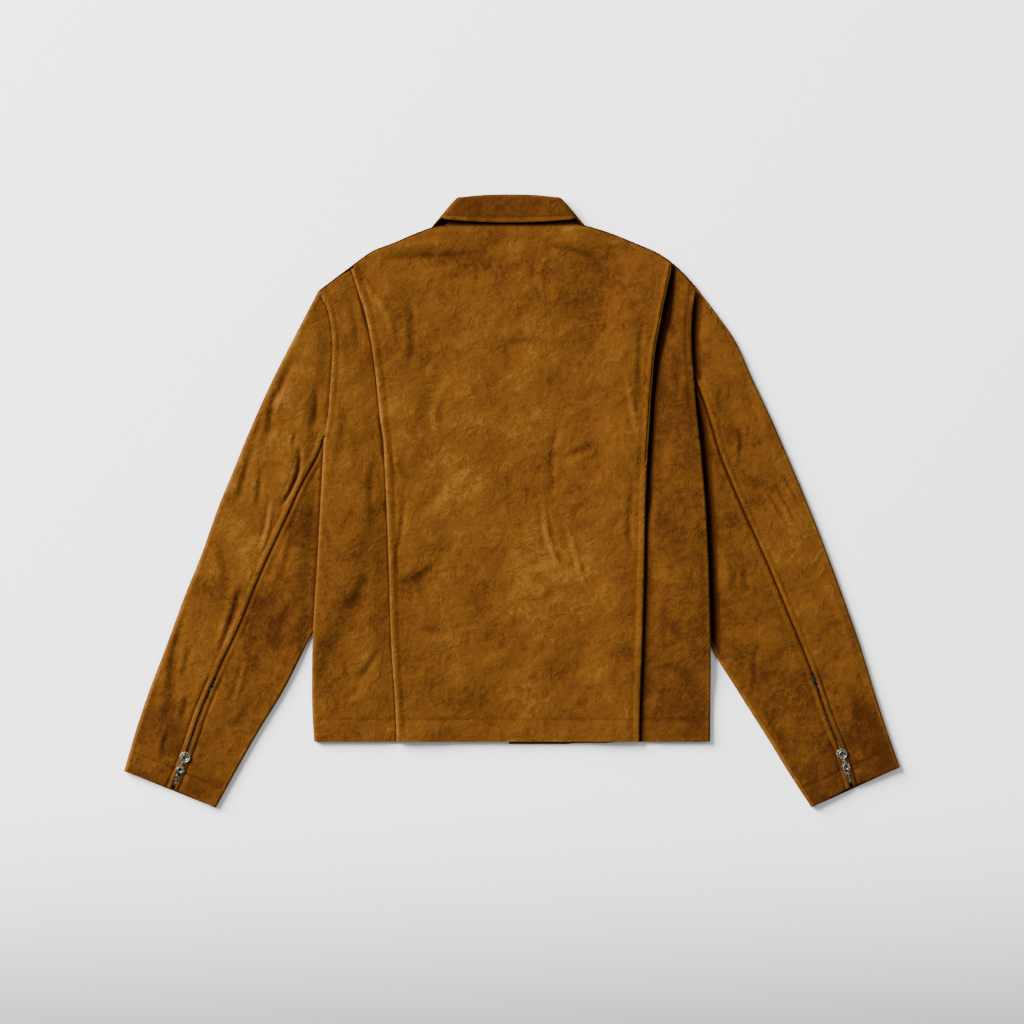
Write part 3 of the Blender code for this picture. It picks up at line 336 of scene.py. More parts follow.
def rolling(x, y, seed, size, height):
    """Gentle unevenness of hide that has been worn, from a few crossed waves."""
    chance = np.random.default_rng(seed)
    total = np.zeros(np.shape(x))
    for _ in range(14):
        angle, phase = chance.uniform(0, 2 * pi, 2)
        length = size * chance.uniform(0.6, 1.8)
        bend = 0.6 * np.sin(2 * pi * (x * sin(angle) - y * cos(angle)) / (length * 2.7) + phase * 3)
        total += np.sin(2 * pi * (x * cos(angle) + y * sin(angle)) / length + phase + bend)
    return total * height / 4


def worn(x, y, creases, *rolls):
    """Creases placed one by one, and unevenness with a seed, size and height for each set of waves."""
    total = creased(x, y, creases)
    for seed, size, height in rolls:
        total = total + rolling(x, y, seed, size, height)
    return total


def rub_and_shade_of(relief, share=0.15, darkest=-0.4):
    """What is raised is rubbed lighter, and what is sunk is painted darker as the shade in its troughs."""
    return np.clip(relief * share, darkest, 0.3)


def inside_pleats(x, y):
    """Distance in from the nearer pleat's edge."""
    return np.where(x < 0, pleat_at["left"](y) + x, pleat_at["right"](y) - x)


def pleat_turn(y):
    """Width of the pleat's turned-under edge."""
    return mix(13, 24, smooth(-300, 100, y))


def centre_z(x, y):
    """Middle of the centre back's wall, over the fronts and the front zip."""
    base = np.where(x < 0, front_z("left", -x, y), front_z("right", x, y))
    inside = inside_pleats(x, y)
    over_zip = np.hypot(x - FRONT_LINE_X, y - FRONT_SLIDER_Y)
    plain = upper(base + LAYER + 0.6 + 1.6 * (1 - smooth(16, 60, over_zip)), LOFT)
    plain = mix(plain, mix(YOKE_Z, NECK_Z, smooth(343, 350, y)), smooth(312, 340, y))
    return mix(plain, base + PLEAT_STACK, 1 - smooth(30, 78, inside))


def square_to(line, towards):
    """Directions square to a line at each of its points, on the side of a second line or value."""
    run = unit(np.gradient(line, axis=0))
    across = np.column_stack([run[:, 1], -run[:, 0]])
    return across * np.where((across * (towards - line)).sum(1) < 0, -1, 1)[:, None]


def shoulder_roll(side, count):
    """The shoulder's fold: outline points, inward directions and the heights of its two walls."""
    line = walk(bowed(SHOULDER[side]), count)
    turn = smooth(0.9, 1.0, np.linspace(0, 1, count))[:, None]
    across = unit(mix(square_to(line, 100), SHOULDER_CORNER, turn))
    reach = line + across * 4
    low = front_z(side, reach[:, 0], reach[:, 1])
    return line, across, low, upper(low + 3.4, LOFT, 0.3)


def shoulder_line(side, count, turn):
    """The shoulder's line at a turn round its fold: 0 on top, pi / 2 at the outline."""
    line, across, low, high = shoulder_roll(side, count)
    return line + across * (HALF + (high - low) / 2 * (1 - sin(turn)))[:, None]


def over_shoulder(side, out, y):
    """How far the back bends down over the shoulder's fold."""
    line, _, low, high = shoulder_roll(side, ROLL_POINTS)
    d, share = away_from(out, y, line)
    radius = np.interp(share, np.linspace(0, 1, ROLL_POINTS), (high - low) / 2)
    into = np.clip((HALF + radius - d) / radius, 0, 0.98) * smooth(0, 0.02, share)
    return radius * (1 - np.sqrt(1 - into ** 2))


def lattice(bottom, top, left, right):
    """Flat points inside four lines; bottom and top run left to right, left and right upwards."""
    u = np.linspace(0, 1, len(bottom))[None, :, None]
    v = np.linspace(0, 1, len(left))[:, None, None]
    across = mix(left[:, None, :], right[:, None, :], u)
    along = mix(bottom[None], top[None], v)
    corners = mix(mix(bottom[0], bottom[-1], u), mix(top[0], top[-1], u), v)
    return across + along - corners


def rolled(x, y, towards, low, high, steps=6, first_turn=0.0):
    """Points round folded edges, from the top wall to the bottom one, as (edge, step, xyz)."""
    radius = (high - low) / 2
    turn = first_turn + (pi - first_turn) * np.arange(steps + 1) / steps
    inset = HALF + radius[:, None] * (1 - np.sin(turn))
    return np.stack([x[:, None] + towards[:, :1] * inset, y[:, None] + towards[:, 1:] * inset,
                     ((high + low) / 2)[:, None] + radius[:, None] * np.cos(turn)], axis=2)


def cloth(name, grids, node, look, wear_and_shade=(), thickness=2.0):
    """A cloth wall from grids of points on its middle surface, with a soft edge, standing for a node."""
    points, faces, rubbed_and_shaded = [], [], []
    for grid, share in zip(grids, wear_and_shade or [None] * len(grids)):
        first = len(points)
        rows, columns = grid.shape[:2]
        points += [tuple(p) for p in (grid.reshape(-1, 3) * MM)]
        rubbed_and_shaded += list(np.zeros(rows * columns) if share is None else share.reshape(-1))
        for j in range(rows - 1):
            start = first + j * columns
            faces += [(start + i, start + i + 1, start + i + 1 + columns, start + i + columns)
                      for i in range(columns - 1)]
    data = bpy.data.meshes.new(name)
    data.from_pydata(points, [], faces)
    # each point's wear and painted shade, for the suede's colour
    data.attributes.new("wear_and_shade", "FLOAT", "POINT").data.foreach_set("value", rubbed_and_shaded)
    form = bmesh.new()
    form.from_mesh(data)
    bmesh.ops.remove_doubles(form, verts=form.verts, dist=0.00004)
    bmesh.ops.recalc_face_normals(form, faces=form.faces)
    highest = max(form.faces, key=lambda face: face.calc_center_median().z)
    if highest.normal.z < 0:
        bmesh.ops.reverse_faces(form, faces=form.faces)
    form.to_mesh(data)
    form.free()
    data.shade_smooth()
    data.materials.append(look)
    made = put(name, data)
    wall = made.modifiers.new("wall", "SOLIDIFY")
    wall.thickness = thickness * MM
    wall.offset = 0.0
    soft = made.modifiers.new("soft_edge", "BEVEL")
    soft.width = thickness * MM * 0.3
    soft.segments = 2
    soft.limit_method = "ANGLE"
    soft.angle_limit = radians(60)
    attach(made, "jacket")
    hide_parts(node)
    return made


def nap_group():
    """Suede's colour and surface: clouds of brushed and worn nap, scuffs, wear and painted shade, and fine
    grain.
    """
    group = bpy.data.node_groups.new("suede_nap", "ShaderNodeTree")
    for label, kind in (("Place", "NodeSocketVector"), ("Light", "NodeSocketColor"),
                        ("Mid", "NodeSocketColor"), ("Dark", "NodeSocketColor"),
                        ("Wear_and_shade", "NodeSocketFloat")):
        group.interface.new_socket(label, in_out="INPUT", socket_type=kind)
    for label, kind in (("Color", "NodeSocketColor"), ("Height", "NodeSocketFloat")):
        group.interface.new_socket(label, in_out="OUTPUT", socket_type=kind)
    nodes, link = group.nodes, group.links.new
    given, result = nodes.new("NodeGroupInput"), nodes.new("NodeGroupOutput")

    def noise(scale, detail, rough, distort=0.0, stretch=None):
        node = nodes.new("ShaderNodeTexNoise")
        node.inputs["Scale"].default_value = scale
        node.inputs["Detail"].default_value = detail
        node.inputs["Roughness"].default_value = rough
        node.inputs["Distortion"].default_value = distort
        if stretch is None:
            link(given.outputs["Place"], node.inputs["Vector"])
        else:
            turned = nodes.new("ShaderNodeMapping")
            turned.vector_type = "TEXTURE"
            turned.inputs["Rotation"].default_value = (0, 0, stretch)
            turned.inputs["Scale"].default_value = (3.4, 1, 1)
            link(given.outputs["Place"], turned.inputs["Vector"])
            link(turned.outputs["Vector"], node.inputs["Vector"])
        return node.outputs["Fac"]

    def spread(value, low, high, to_low, to_high):
        node = nodes.new("ShaderNodeMapRange")
        node.interpolation_type = "SMOOTHSTEP"
        for socket, number in zip(("From Min", "From Max", "To Min", "To Max"), (low, high, to_low, to_high)):
            node.inputs[socket].default_value = number
        link(value, node.inputs["Value"])
        return node.outputs["Result"]

    def combined(operation, *values):
        """The sum, or the product, of several outputs."""
        total = values[0]
        for value in values[1:]:
            node = nodes.new("ShaderNodeMath")
            node.operation = operation
            link(total, node.inputs[0])
            link(value, node.inputs[1])
            total = node.outputs[0]
        return total

    def blended(share, first, second):
        node = nodes.new("ShaderNodeMix")
        node.data_type = "RGBA"
        link(share, node.inputs["Factor"])
        link(first, node.inputs["A"])
        link(second, node.inputs["B"])
        return node.outputs["Result"]

    def hairlines(value, half_width, strength):
        """Thin wandering lines where a noise crosses its middle value."""
        away = nodes.new("ShaderNodeMath")
        away.operation = "COMPARE"
        away.inputs[1].default_value = 0.5
        away.inputs[2].default_value = half_width
        link(value, away.inputs[0])
        patches = spread(noise(15, 2, 0.5), 0.48, 0.62, 0.0, strength)
        return combined("MULTIPLY", away.outputs[0], patches)

    clouds = spread(noise(8, 3, 0.5, 0.5), 0.36, 0.66, -0.13, 0.12)
    blotches = spread(noise(30, 4, 0.55, 0.6), 0.36, 0.66, -0.10, 0.09)
    brushed = spread(noise(150, 4, 0.6, 1.0), 0.33, 0.67, -0.07, 0.07)
    strokes = [spread(noise(190, 3, 0.55, 0.9, turn), 0.33, 0.67, -0.08, 0.08) for turn in (0.35, 1.3, 2.35)]
    grain = spread(noise(620, 3, 0.7), 0.28, 0.72, -0.10, 0.10)
    scuffs = spread(noise(26, 8, 0.78, 3.0), 0.60, 0.74, 0.0, 0.16)
    rubs = hairlines(noise(24, 3, 0.55, 1.3), 0.006, 0.22)
    quiet = spread(given.outputs["Wear_and_shade"], -0.75, 0.0, 0.35, 1.0)      # shaded suede shows less of its nap
    marks = combined("ADD", clouds, blotches, brushed, *strokes, grain, scuffs, rubs)
    level = combined("ADD", combined("MULTIPLY", marks, quiet), given.outputs["Wear_and_shade"])
    lighter = spread(level, 0.0, 0.55, 0.0, 1.0)
    darker = spread(level, 0.0, -0.62, 0.0, 1.0)
    colour = blended(lighter, given.outputs["Mid"], given.outputs["Light"])
    colour = blended(darker, colour, given.outputs["Dark"])
    deep = nodes.new("ShaderNodeVectorMath")       # nothing lights the bottom of a gap between layers
    deep.operation = "SCALE"
    link(colour, deep.inputs[0])
    link(spread(given.outputs["Wear_and_shade"], -0.7, -1.35, 1.0, 0.2), deep.inputs["Scale"])
    link(deep.outputs["Vector"], result.inputs["Color"])
    puckers = spread(noise(48, 5, 0.62, 1.0), 0.3, 0.7, 0.0, 1.0)
    fine_puckers = spread(noise(210, 3, 0.6, 0.6), 0.3, 0.7, 0.0, 0.26)
    nap = spread(noise(1300, 2, 0.6), 0.2, 0.8, 0.0, 0.10)
    link(combined("ADD", puckers, fine_puckers, nap), result.inputs["Height"])
    return group


def suede_look(name, group, light, mid, dark):
    look, nodes, link, shader = new_look(name, 0.94, 0.0)
    shader.inputs["Sheen Weight"].default_value = 0.04
    shader.inputs["Sheen Roughness"].default_value = 0.6
    shader.inputs["Sheen Tint"].default_value = (0.75, 0.42, 0.12, 1)
    nap = nodes.new("ShaderNodeGroup")
    nap.node_tree = group
    for label, colour in (("Light", light), ("Mid", mid), ("Dark", dark)):
        nap.inputs[label].default_value = (*colour, 1)
    place = nodes.new("ShaderNodeTexCoord")
    # reads each point's wear and painted shade
    worn = nodes.new("ShaderNodeAttribute")
    worn.attribute_name = "wear_and_shade"
    bump = nodes.new("ShaderNodeBump")
    bump.inputs["Strength"].default_value = 0.6
    bump.inputs["Distance"].default_value = 0.0012
    link(place.outputs["Object"], nap.inputs["Place"])
    link(worn.outputs["Fac"], nap.inputs["Wear_and_shade"])
    link(nap.outputs["Color"], shader.inputs["Base Color"])
    link(nap.outputs["Height"], bump.inputs["Height"])
    link(bump.outputs["Normal"], shader.inputs["Normal"])
    return look


suede = suede_look("tan_suede", nap_group(), light=(0.088, 0.039, 0.0066), mid=(0.058, 0.0210, 0.0040),
                   dark=(0.0255, 0.0076, 0.0018))


def stitched_edge(d, edge_height, at):
    """Profile of a topstitched edge by distance in from it: a puffed welt, then the stitches' groove."""
    welt = edge_height * hump(d - at * 0.45, at * 0.38)
    groove = -0.75 * edge_height * hump(d - at, 1.7)
    return welt + groove


HEM_STITCH, HEM_EDGE_STITCH, PLEAT_STITCH = 28.0, 3.5, 9.5
HEM_HEIGHTS = ((0.5, HEM_STITCH), (0.3, HEM_EDGE_STITCH))
BACK_TURN = 0.5             # where the back ends, round the shoulder's fold from its top
ROWS_UP, ACROSS = int((NECK_Y - HEM_Y) / FINE), int(330 / FINE)
inset = HALF + PLEAT_FOLD / 2
heights, edges, tops = {}, {}, {}
for side, sign in SIGN.items():
    line = shoulder_line(side, ROLL_POINTS, BACK_TURN)
    last = int(round(PLEAT_TOP_AT[side] * (ROLL_POINTS - 1)))
    top_end = line[last] - (0, 2)
    heights[side] = np.linspace(HEM_Y, top_end[1], ROWS_UP)
    edges[side] = np.column_stack([sign * (pleat_at[side](heights[side]) - inset), heights[side]])
    top = line[:last + 1].copy()
    top[-1] = (abs(edges[side][-1, 0]), edges[side][-1, 1])
    top[:, 0] *= sign
    tops[side] = top
neck = np.column_stack([np.linspace(tops["left"][0, 0], tops["right"][0, 0], 14)[1:-1], np.full(12, NECK_Y)])
top_line = walk(np.vstack([tops["left"][::-1], neck, tops["right"]]), ACROSS)
hem_line = walk(np.array([edges["left"][0], edges["right"][0]]), ACROSS)
flat = lattice(hem_line, top_line, edges["left"], edges["right"])
x, y = flat[..., 0], flat[..., 1]
inside = inside_pleats(x, y)
relief = worn(x, y, BACK_CREASES, (4, 90, 0.7), (9, 34, 0.3), (15, 15, 0.08))
relief *= smooth(2, 16, inside) * smooth(0, 20, y - HEM_Y) * smooth(0, 12, NECK_Y - y)
seams = stitched_edge(inside, 0.8, PLEAT_STITCH) * smooth(-300, -270, y)
for rise, up in HEM_HEIGHTS:
    seams += stitched_edge(np.abs(y - HEM_Y), rise, up) * smooth(8, 14, inside)
z = centre_z(x, y) + relief + seams
z -= np.where(x < 0, over_shoulder("left", -x, y), over_shoulder("right", x, y))
# rubbed edges, darker stitch grooves, a paler middle, a darker yoke, deep painted shade under the collar and
# a paler line just below it
wear_and_shade = rub_and_shade_of(relief) + 0.30 * hump(inside, 2.6)
wear_and_shade += 0.12 * hump(y - HEM_Y, 2.5) - 0.16 * hump(inside - PLEAT_STITCH, 1.6)
wear_and_shade -= 0.2 * hump(y - HEM_Y - HEM_STITCH, 1.8)
wear_and_shade += 0.08 * hump(np.hypot(x + 20, (y + 40) / 1.7), 130) - 1.1 * smooth(343.5, 346.5, y)
wear_and_shade -= 0.10 * smooth(180, 260, y)
wear_and_shade += 0.12 * hump(y - 341, 2.0)
main = np.dstack([x, y, z])
# each grid's wear and painted shade
grids, rubs = [main], [wear_and_shade]
for side, column in (("left", 0), ("right", -1)):
    sign = SIGN[side]
    start = main[:, column]
    out = sign * start[:, 0] + inset
    around = rolled(sign * out, start[:, 1], np.tile((-sign, 0.0), (len(out), 1)),
                    start[:, 2] - PLEAT_FOLD, start[:, 2])
    around[:, 0] = start
    width = pleat_turn(start[:, 1])
    under = []
    for share in (0.3, 0.65, 1.0):
        place = out - mix(inset, width, share)
        under.append(np.column_stack([sign * place, start[:, 1],
                                      front_z(side, place, start[:, 1]) + PLEAT_STACK - PLEAT_FOLD]))
    grids.append(np.concatenate([around, np.stack(under, axis=1)], axis=1))
    # the pleat's fold is rubbed lighter on top, and painted darker as shade where it turns under into the
    # pleat
    rub_and_shade = np.zeros(grids[-1].shape[:2])
    rub_and_shade[:, :7] = np.array([0.30, 0.28, 0.2, 0.0, -0.4, -0.6, -0.7])
    rub_and_shade[:, 7:] = -0.7
    rubs.append(rub_and_shade)
back_centre = cloth("back_centre_panel", grids, "back_centre", suede, rubs)

# ---------------------------------------------------------------- side backs
# A side panel on each side runs from under the pleat round the body's side to the side seam
# underneath. Above the armpit its outer edge is sewn to the sleeve, and topstitched there.
ARMHOLE_STITCH = 7.5
SIDE_WIDTH, CAP_ROWS = 95, 16       # its widest part from pleat to fold, and the rows over the armhole's top
SIDE_RIDGE = {"left": 0.6, "right": 1.9}        # height of the roll along the armhole
SIDE_SHADE = {"left": 0.05, "right": 0.32}      # painted shade: the right side back, away from the key lamp, is painted darker
PLEAT_SHADE = {             # height, width of the deep shade beside the pleat
    "left": [(-300, 0.4), (-22, 0.6), (-10, 3), (4, 0.6), (50, 0.6), (60, 3.2), (104, 3), (112, 0.8),
             (205, 1), (222, 3.6), (252, 2.6), (262, 0.8), (290, 0.6)],
    "right": [(-300, 1.6), (-40, 2.2), (-22, 4), (2, 7.5), (30, 7), (80, 5.5), (130, 5), (177, 8.5),
              (202, 10.5), (239, 12.5), (270, 8), (294, 3)]}
SIDE_CREASES = {
    "left": [
        (3.4, -1.2, 0.4, (-164, -182), (-175, -200), (-190, -224)),
        (4.5, -0.8, 0.4, (-188, -228), (-198, -241), (-212, -248)),
        (3.4, -0.7, 0.5, (-214, -190), (-206, -212), (-198, -232)),
        (6, -1.0, 0.3, (-197, 262), (-193, 228), (-192, 188)),
        (7, -0.8, 0.5, (-206, 118), (-213, 70), (-221, 24)),
        (5, -0.8, 0.5, (-168, 60), (-176, 20), (-172, -30)),
        (6, 0.7, 0.5, (-228, -20), (-214, -52), (-196, -70)),
        (6, -0.7, 0.5, (-180, -92), (-192, -120), (-214, -134))],
    "right": [
        (5, -1.1, 0.4, (199, 232), (203, 214), (216, 204)),
        (7, -0.8, 0.5, (182, 60), (190, 0), (186, -60)),
        (4, 0.6, 0.6, (160, -92), (190, -98), (222, -106)),
        (4, 0.7, 0.6, (212, 26), (224, -4), (236, -18)),
        (6, -0.7, 0.5, (196, -150), (212, -168), (236, -180)),
        (7, -0.8, 0.5, (205, -200), (222, -222), (238, -230))]}


def side_z(side, out, y):
    """Middle of the side back's wall, which rises a little once it is clear of the pleat."""
    base = front_z(side, out, y)
    raised = upper(base + SIDE_LAYER + 0.4, LOFT)
    return mix(base + SIDE_LAYER, raised, smooth(1, 28, out - pleat_at[side](y)))


for side, sign in SIGN.items():
    low_y = np.linspace(HEM_Y, ARMPIT_Y, int((ARMPIT_Y - HEM_Y) / FINE))
    arm_y = np.linspace(ARMPIT_Y, ARM_TOP_Y, int((ARM_TOP_Y - ARMPIT_Y) / FINE))[1:]
    row_y = np.concatenate([low_y, arm_y])
    line = shoulder_line(side, ROLL_POINTS, BACK_TURN)
    first = int(round(PLEAT_TOP_AT[side] * (ROLL_POINTS - 1)))
    start = np.column_stack([pleat_at[side](row_y) - (pleat_turn(row_y) - 2), row_y])
    edge_x = edge_at[side](row_y)
    high = side_z(side, edge_x, row_y)
    low = front_z(side, edge_x, row_y)
    end_inset = np.where(row_y <= ARMPIT_Y, HALF + (high - low) / 2, SEAM / 2)
    end = np.column_stack([edge_x - end_inset, row_y])
    columns = int(SIDE_WIDTH / FINE)
    shares = np.linspace(0, 1, columns)[None, :, None]
    flat = mix(start[:, None], end[:, None], shares)
    cap = walk(np.vstack([line[first] + (-20, -3), line[first:] - (0, 0.3)]), columns)
    lift = np.linspace(0, 1, CAP_ROWS)[1:, None, None]
    flat = np.concatenate([flat, mix(flat[-1][None], cap[None], lift)])
    out, y = flat[..., 0], flat[..., 1]
    x = sign * out
    to_edge = np.maximum(edge_at[side](y) - out, 0)
    near_pleat = out - pleat_at[side](y)
    relief = worn(x, y, SIDE_CREASES[side], (21 + int(sign), 70, 0.45), (25 + int(sign), 28, 0.25))
    relief *= smooth(4, 18, near_pleat) * smooth(3, 16, to_edge) * smooth(0, 20, y - HEM_Y)
    by_arm = smooth(70, 100, y) * (1 - smooth(236, 258, y))
    seams = stitched_edge(to_edge, 0.7, ARMHOLE_STITCH) + SIDE_RIDGE[side] * hump(to_edge - 9, 9)
    seams *= by_arm
    seams += sum(stitched_edge(np.abs(y - HEM_Y), rise, up) for rise, up in HEM_HEIGHTS)
    z = side_z(side, out, y) + relief + seams - over_shoulder(side, out, y)
    wear_and_shade = rub_and_shade_of(relief, 0.1, -0.3) - 0.2 * hump(y - HEM_Y - HEM_STITCH, 1.8)
    wear_and_shade -= SIDE_SHADE[side]
    shade_at = np.array(PLEAT_SHADE[side])
    wear_and_shade -= 1.0 * smooth(2.5, -1.5, near_pleat - np.interp(y, shade_at[:, 0], shade_at[:, 1]))
    wear_and_shade += 0.25 * hump(to_edge, 4.0) + 0.12 * hump(y - HEM_Y, 2.5)
    wear_and_shade -= 0.2 * hump(to_edge - ARMHOLE_STITCH, 1.6) * smooth(78, 100, y)
    main = np.dstack([x, y, z])
    count = len(low_y)
    around = rolled(sign * edge_x[:count], low_y, np.tile((-sign, 0.0), (count, 1)), low[:count],
                    main[:count, -1, 2])
    around[:, 0] = main[:count, -1]
    under = []
    seam_end = seam_under(side, low_y)
    for share in (0.5, 1.0):
        place = mix(np.abs(around[:, -1, 0]), seam_end, share)
        under.append(np.column_stack([sign * place, low_y, front_z(side, place, low_y)]))
    wrap = np.concatenate([around, np.stack(under, axis=1)], axis=1)
    # the side's fold is rubbed lighter on top, and painted darker as shade where it turns under towards the
    # table
    rub_and_shade = np.full(wrap.shape[:2], -0.25)
    rub_and_shade[:, :4] = np.array([0.25, 0.25, 0.1, -0.1])
    panel = cloth("back_side_panel_" + side, [main, wrap], "back_side_" + side, suede, [wear_and_shade, rub_and_shade])

# ---------------------------------------------------------------- fronts
# The two fronts lie on the table under the back. Each is rolled over the shoulder to its seam with
# the back, and is cut away at the neck, at the armhole and along the zip.
FRONT_GAP, FRONT_HEM_DROP, FRONT_TOP_Y = 4.3, 3.0, 267.0
FRONT_TURN = 0.68           # where the front begins, round the shoulder's fold from its top
FRONT_CREASES = {           # soft rises of the hidden fronts, which can't sink into the table
    "left": [
        (11, 0.7, 0.0, (-36, -196), (-84, -176), (-132, -182)),
        (10, 0.7, 0.0, (-70, -70), (-96, -20), (-104, 40)),
        (13, 0.5, 0.0, (-140, -120), (-160, -70), (-166, -10)),
        (10, 0.7, 0.0, (-60, 110), (-100, 130), (-138, 172)),
        (9, 0.5, 0.0, (-30, 20), (-52, 64), (-58, 100))],
    "right": [
        (12, 0.6, 0.0, (28, -140), (70, -160), (120, -150)),
        (10, 0.8, 0.0, (58, -60), (90, -30), (132, 8)),
        (11, 0.5, 0.0, (150, -200), (168, -150), (170, -100)),
        (10, 0.7, 0.0, (50, 90), (76, 150), (120, 196))]}
NECKLINE = {
    "left": [(86, 345), (80, 318), (58, 289), (30, 273), (12.3, 267)],
    "right": [(85, 346), (76, 318), (50, 289), (18, 273), (-3.7, 267)]}

for side, sign in SIGN.items():
    columns, rows, zip_rows = 90, 90, 66
    shoulder = shoulder_line(side, columns, 0.0)      # the fold's lower wall starts right under this line
    zip_edge = sign * FRONT_LINE_X + FRONT_GAP
    outer_y = np.concatenate([np.linspace(HEM_Y, ARMPIT_Y, 60), np.linspace(ARMPIT_Y, ARM_TOP_Y, 30)[1:]])
    outer = np.column_stack([seam_under(side, outer_y) - np.where(outer_y <= ARMPIT_Y, 2 * SEAM, 0), outer_y])
    outer = walk(np.vstack([outer, shoulder[-1:]]), rows)
    inner_edge = np.column_stack([np.full(40, zip_edge), np.linspace(HEM_Y, FRONT_TOP_Y, 40)])
    neck_edge = bowed(NECKLINE[side][::-1])
    neck_edge[0] = (zip_edge, FRONT_TOP_Y)
    neck_edge[-1] = shoulder[0]
    inner = np.vstack([walk(inner_edge, zip_rows), walk(neck_edge, rows - zip_rows + 1)[1:]])
    hem = walk(np.array([inner[0], outer[0]]), columns)
    if side == "right":                       # its hem shows a little below the back's
        along = np.linspace(0, 1, columns)
        hem[:, 1] -= FRONT_HEM_DROP * (smooth(0.60, 0.50, along) * 0.6 + smooth(0.36, 0.30, along) * 0.4)
        inner[0] = hem[0]
    flat = lattice(hem, shoulder, inner, outer)
    out, y = flat[..., 0], flat[..., 1]
    lie = front_z(side, out, y) + creased(sign * out, y, FRONT_CREASES[side])
    main = np.dstack([sign * out, y, lie])
    line, across, low, high = shoulder_roll(side, columns)
    low = front_z(side, shoulder[:, 0], shoulder[:, 1])
    around = rolled(line[:, 0], line[:, 1], across, low, high, 7, FRONT_TURN)[:, ::-1]
    around[..., 0] *= sign
    wrap = around.transpose(1, 0, 2)[1:]
    grid = np.concatenate([main, wrap])
    rub_and_shade = np.zeros(grid.shape[:2])
    # painted shade on the front's fold round the shoulder, just under the back's edge
    rub_and_shade[-3:] = -0.45
    panel = cloth("front_panel_" + side, [grid], "front_" + side, suede, [rub_and_shade])

# ---------------------------------------------------------------- sleeves
# Each sleeve is two panels: the top sleeve wraps the outer edge, the under sleeve the inner one. They
# meet at the elbow seam on the back, which opens at the cuff into a zipped slit.
SLEEVE_SEP, TUCK_SEP, ARM_SEP, UNDERLAP, FRONT_SEAM_INSET = 5.4, 2.8, 2.4, 8.0, 25.0
ZIP_TOP_Y = {"left": -219.0, "right": -212.0}
ZIP_GAP, ZIP_GAP_TOP, ZIP_GAP_CUFF = 0.8, 1.6, 2.4      # the slit's half width: middle, more at its top, cuff
ARMHOLE_FOOT_Y = 62.0       # where the two sleeve panels and the body's pieces meet under the arm
ARM_SHADE = {               # depth and width of the shade beside the armhole, on the top and under sleeve
    "left": ((0.35, 3.0), (0.4, 3.0)), "right": ((1.0, 9.0), (1.0, 10.0))}
CUFF_STITCH = 27.0
SLEEVE_LENGTH, TOP_WIDTH, UNDER_WIDTH = 660, 120, 100      # sizes that set the sleeves' grids
FOLD_REACH = 3.5            # the fold's height is read this far in from the sleeve's edge
SLEEVE_OUTER = {
    "left": [(241.5, 264.4), (276, 198), (302.5, 145.5), (327.5, 89.5), (348, 39.5), (367.5, -8),
             (387.5, -64.5), (411, -123), (433, -183), (454, -238), (471, -289), (485, -337)],
    "right": [(229.9, 268.5), (276, 205.5), (299.5, 155.5), (323, 105.5), (341, 64.5), (363.5, 12),
              (388.5, -50.5), (412.5, -115.5), (435, -179), (455, -244), (471, -293), (485, -332)]}
SLEEVE_ELBOW = {
    "left": [(234.5, 80), (243, 57), (255.5, 34.5), (267, 12), (278, -13), (290, -38), (314, -90.5),
             (338, -150), (365, -208), (388, -262), (405.5, -313), (424, -359)],
    "right": [(227, 156), (237.5, 132), (249, 97), (261, 57), (276, 19.5), (291, -14.5),
              (318.5, -75.5), (345.5, -140.5), (371, -203), (393.5, -267), (412, -314.5), (424, -356)]}
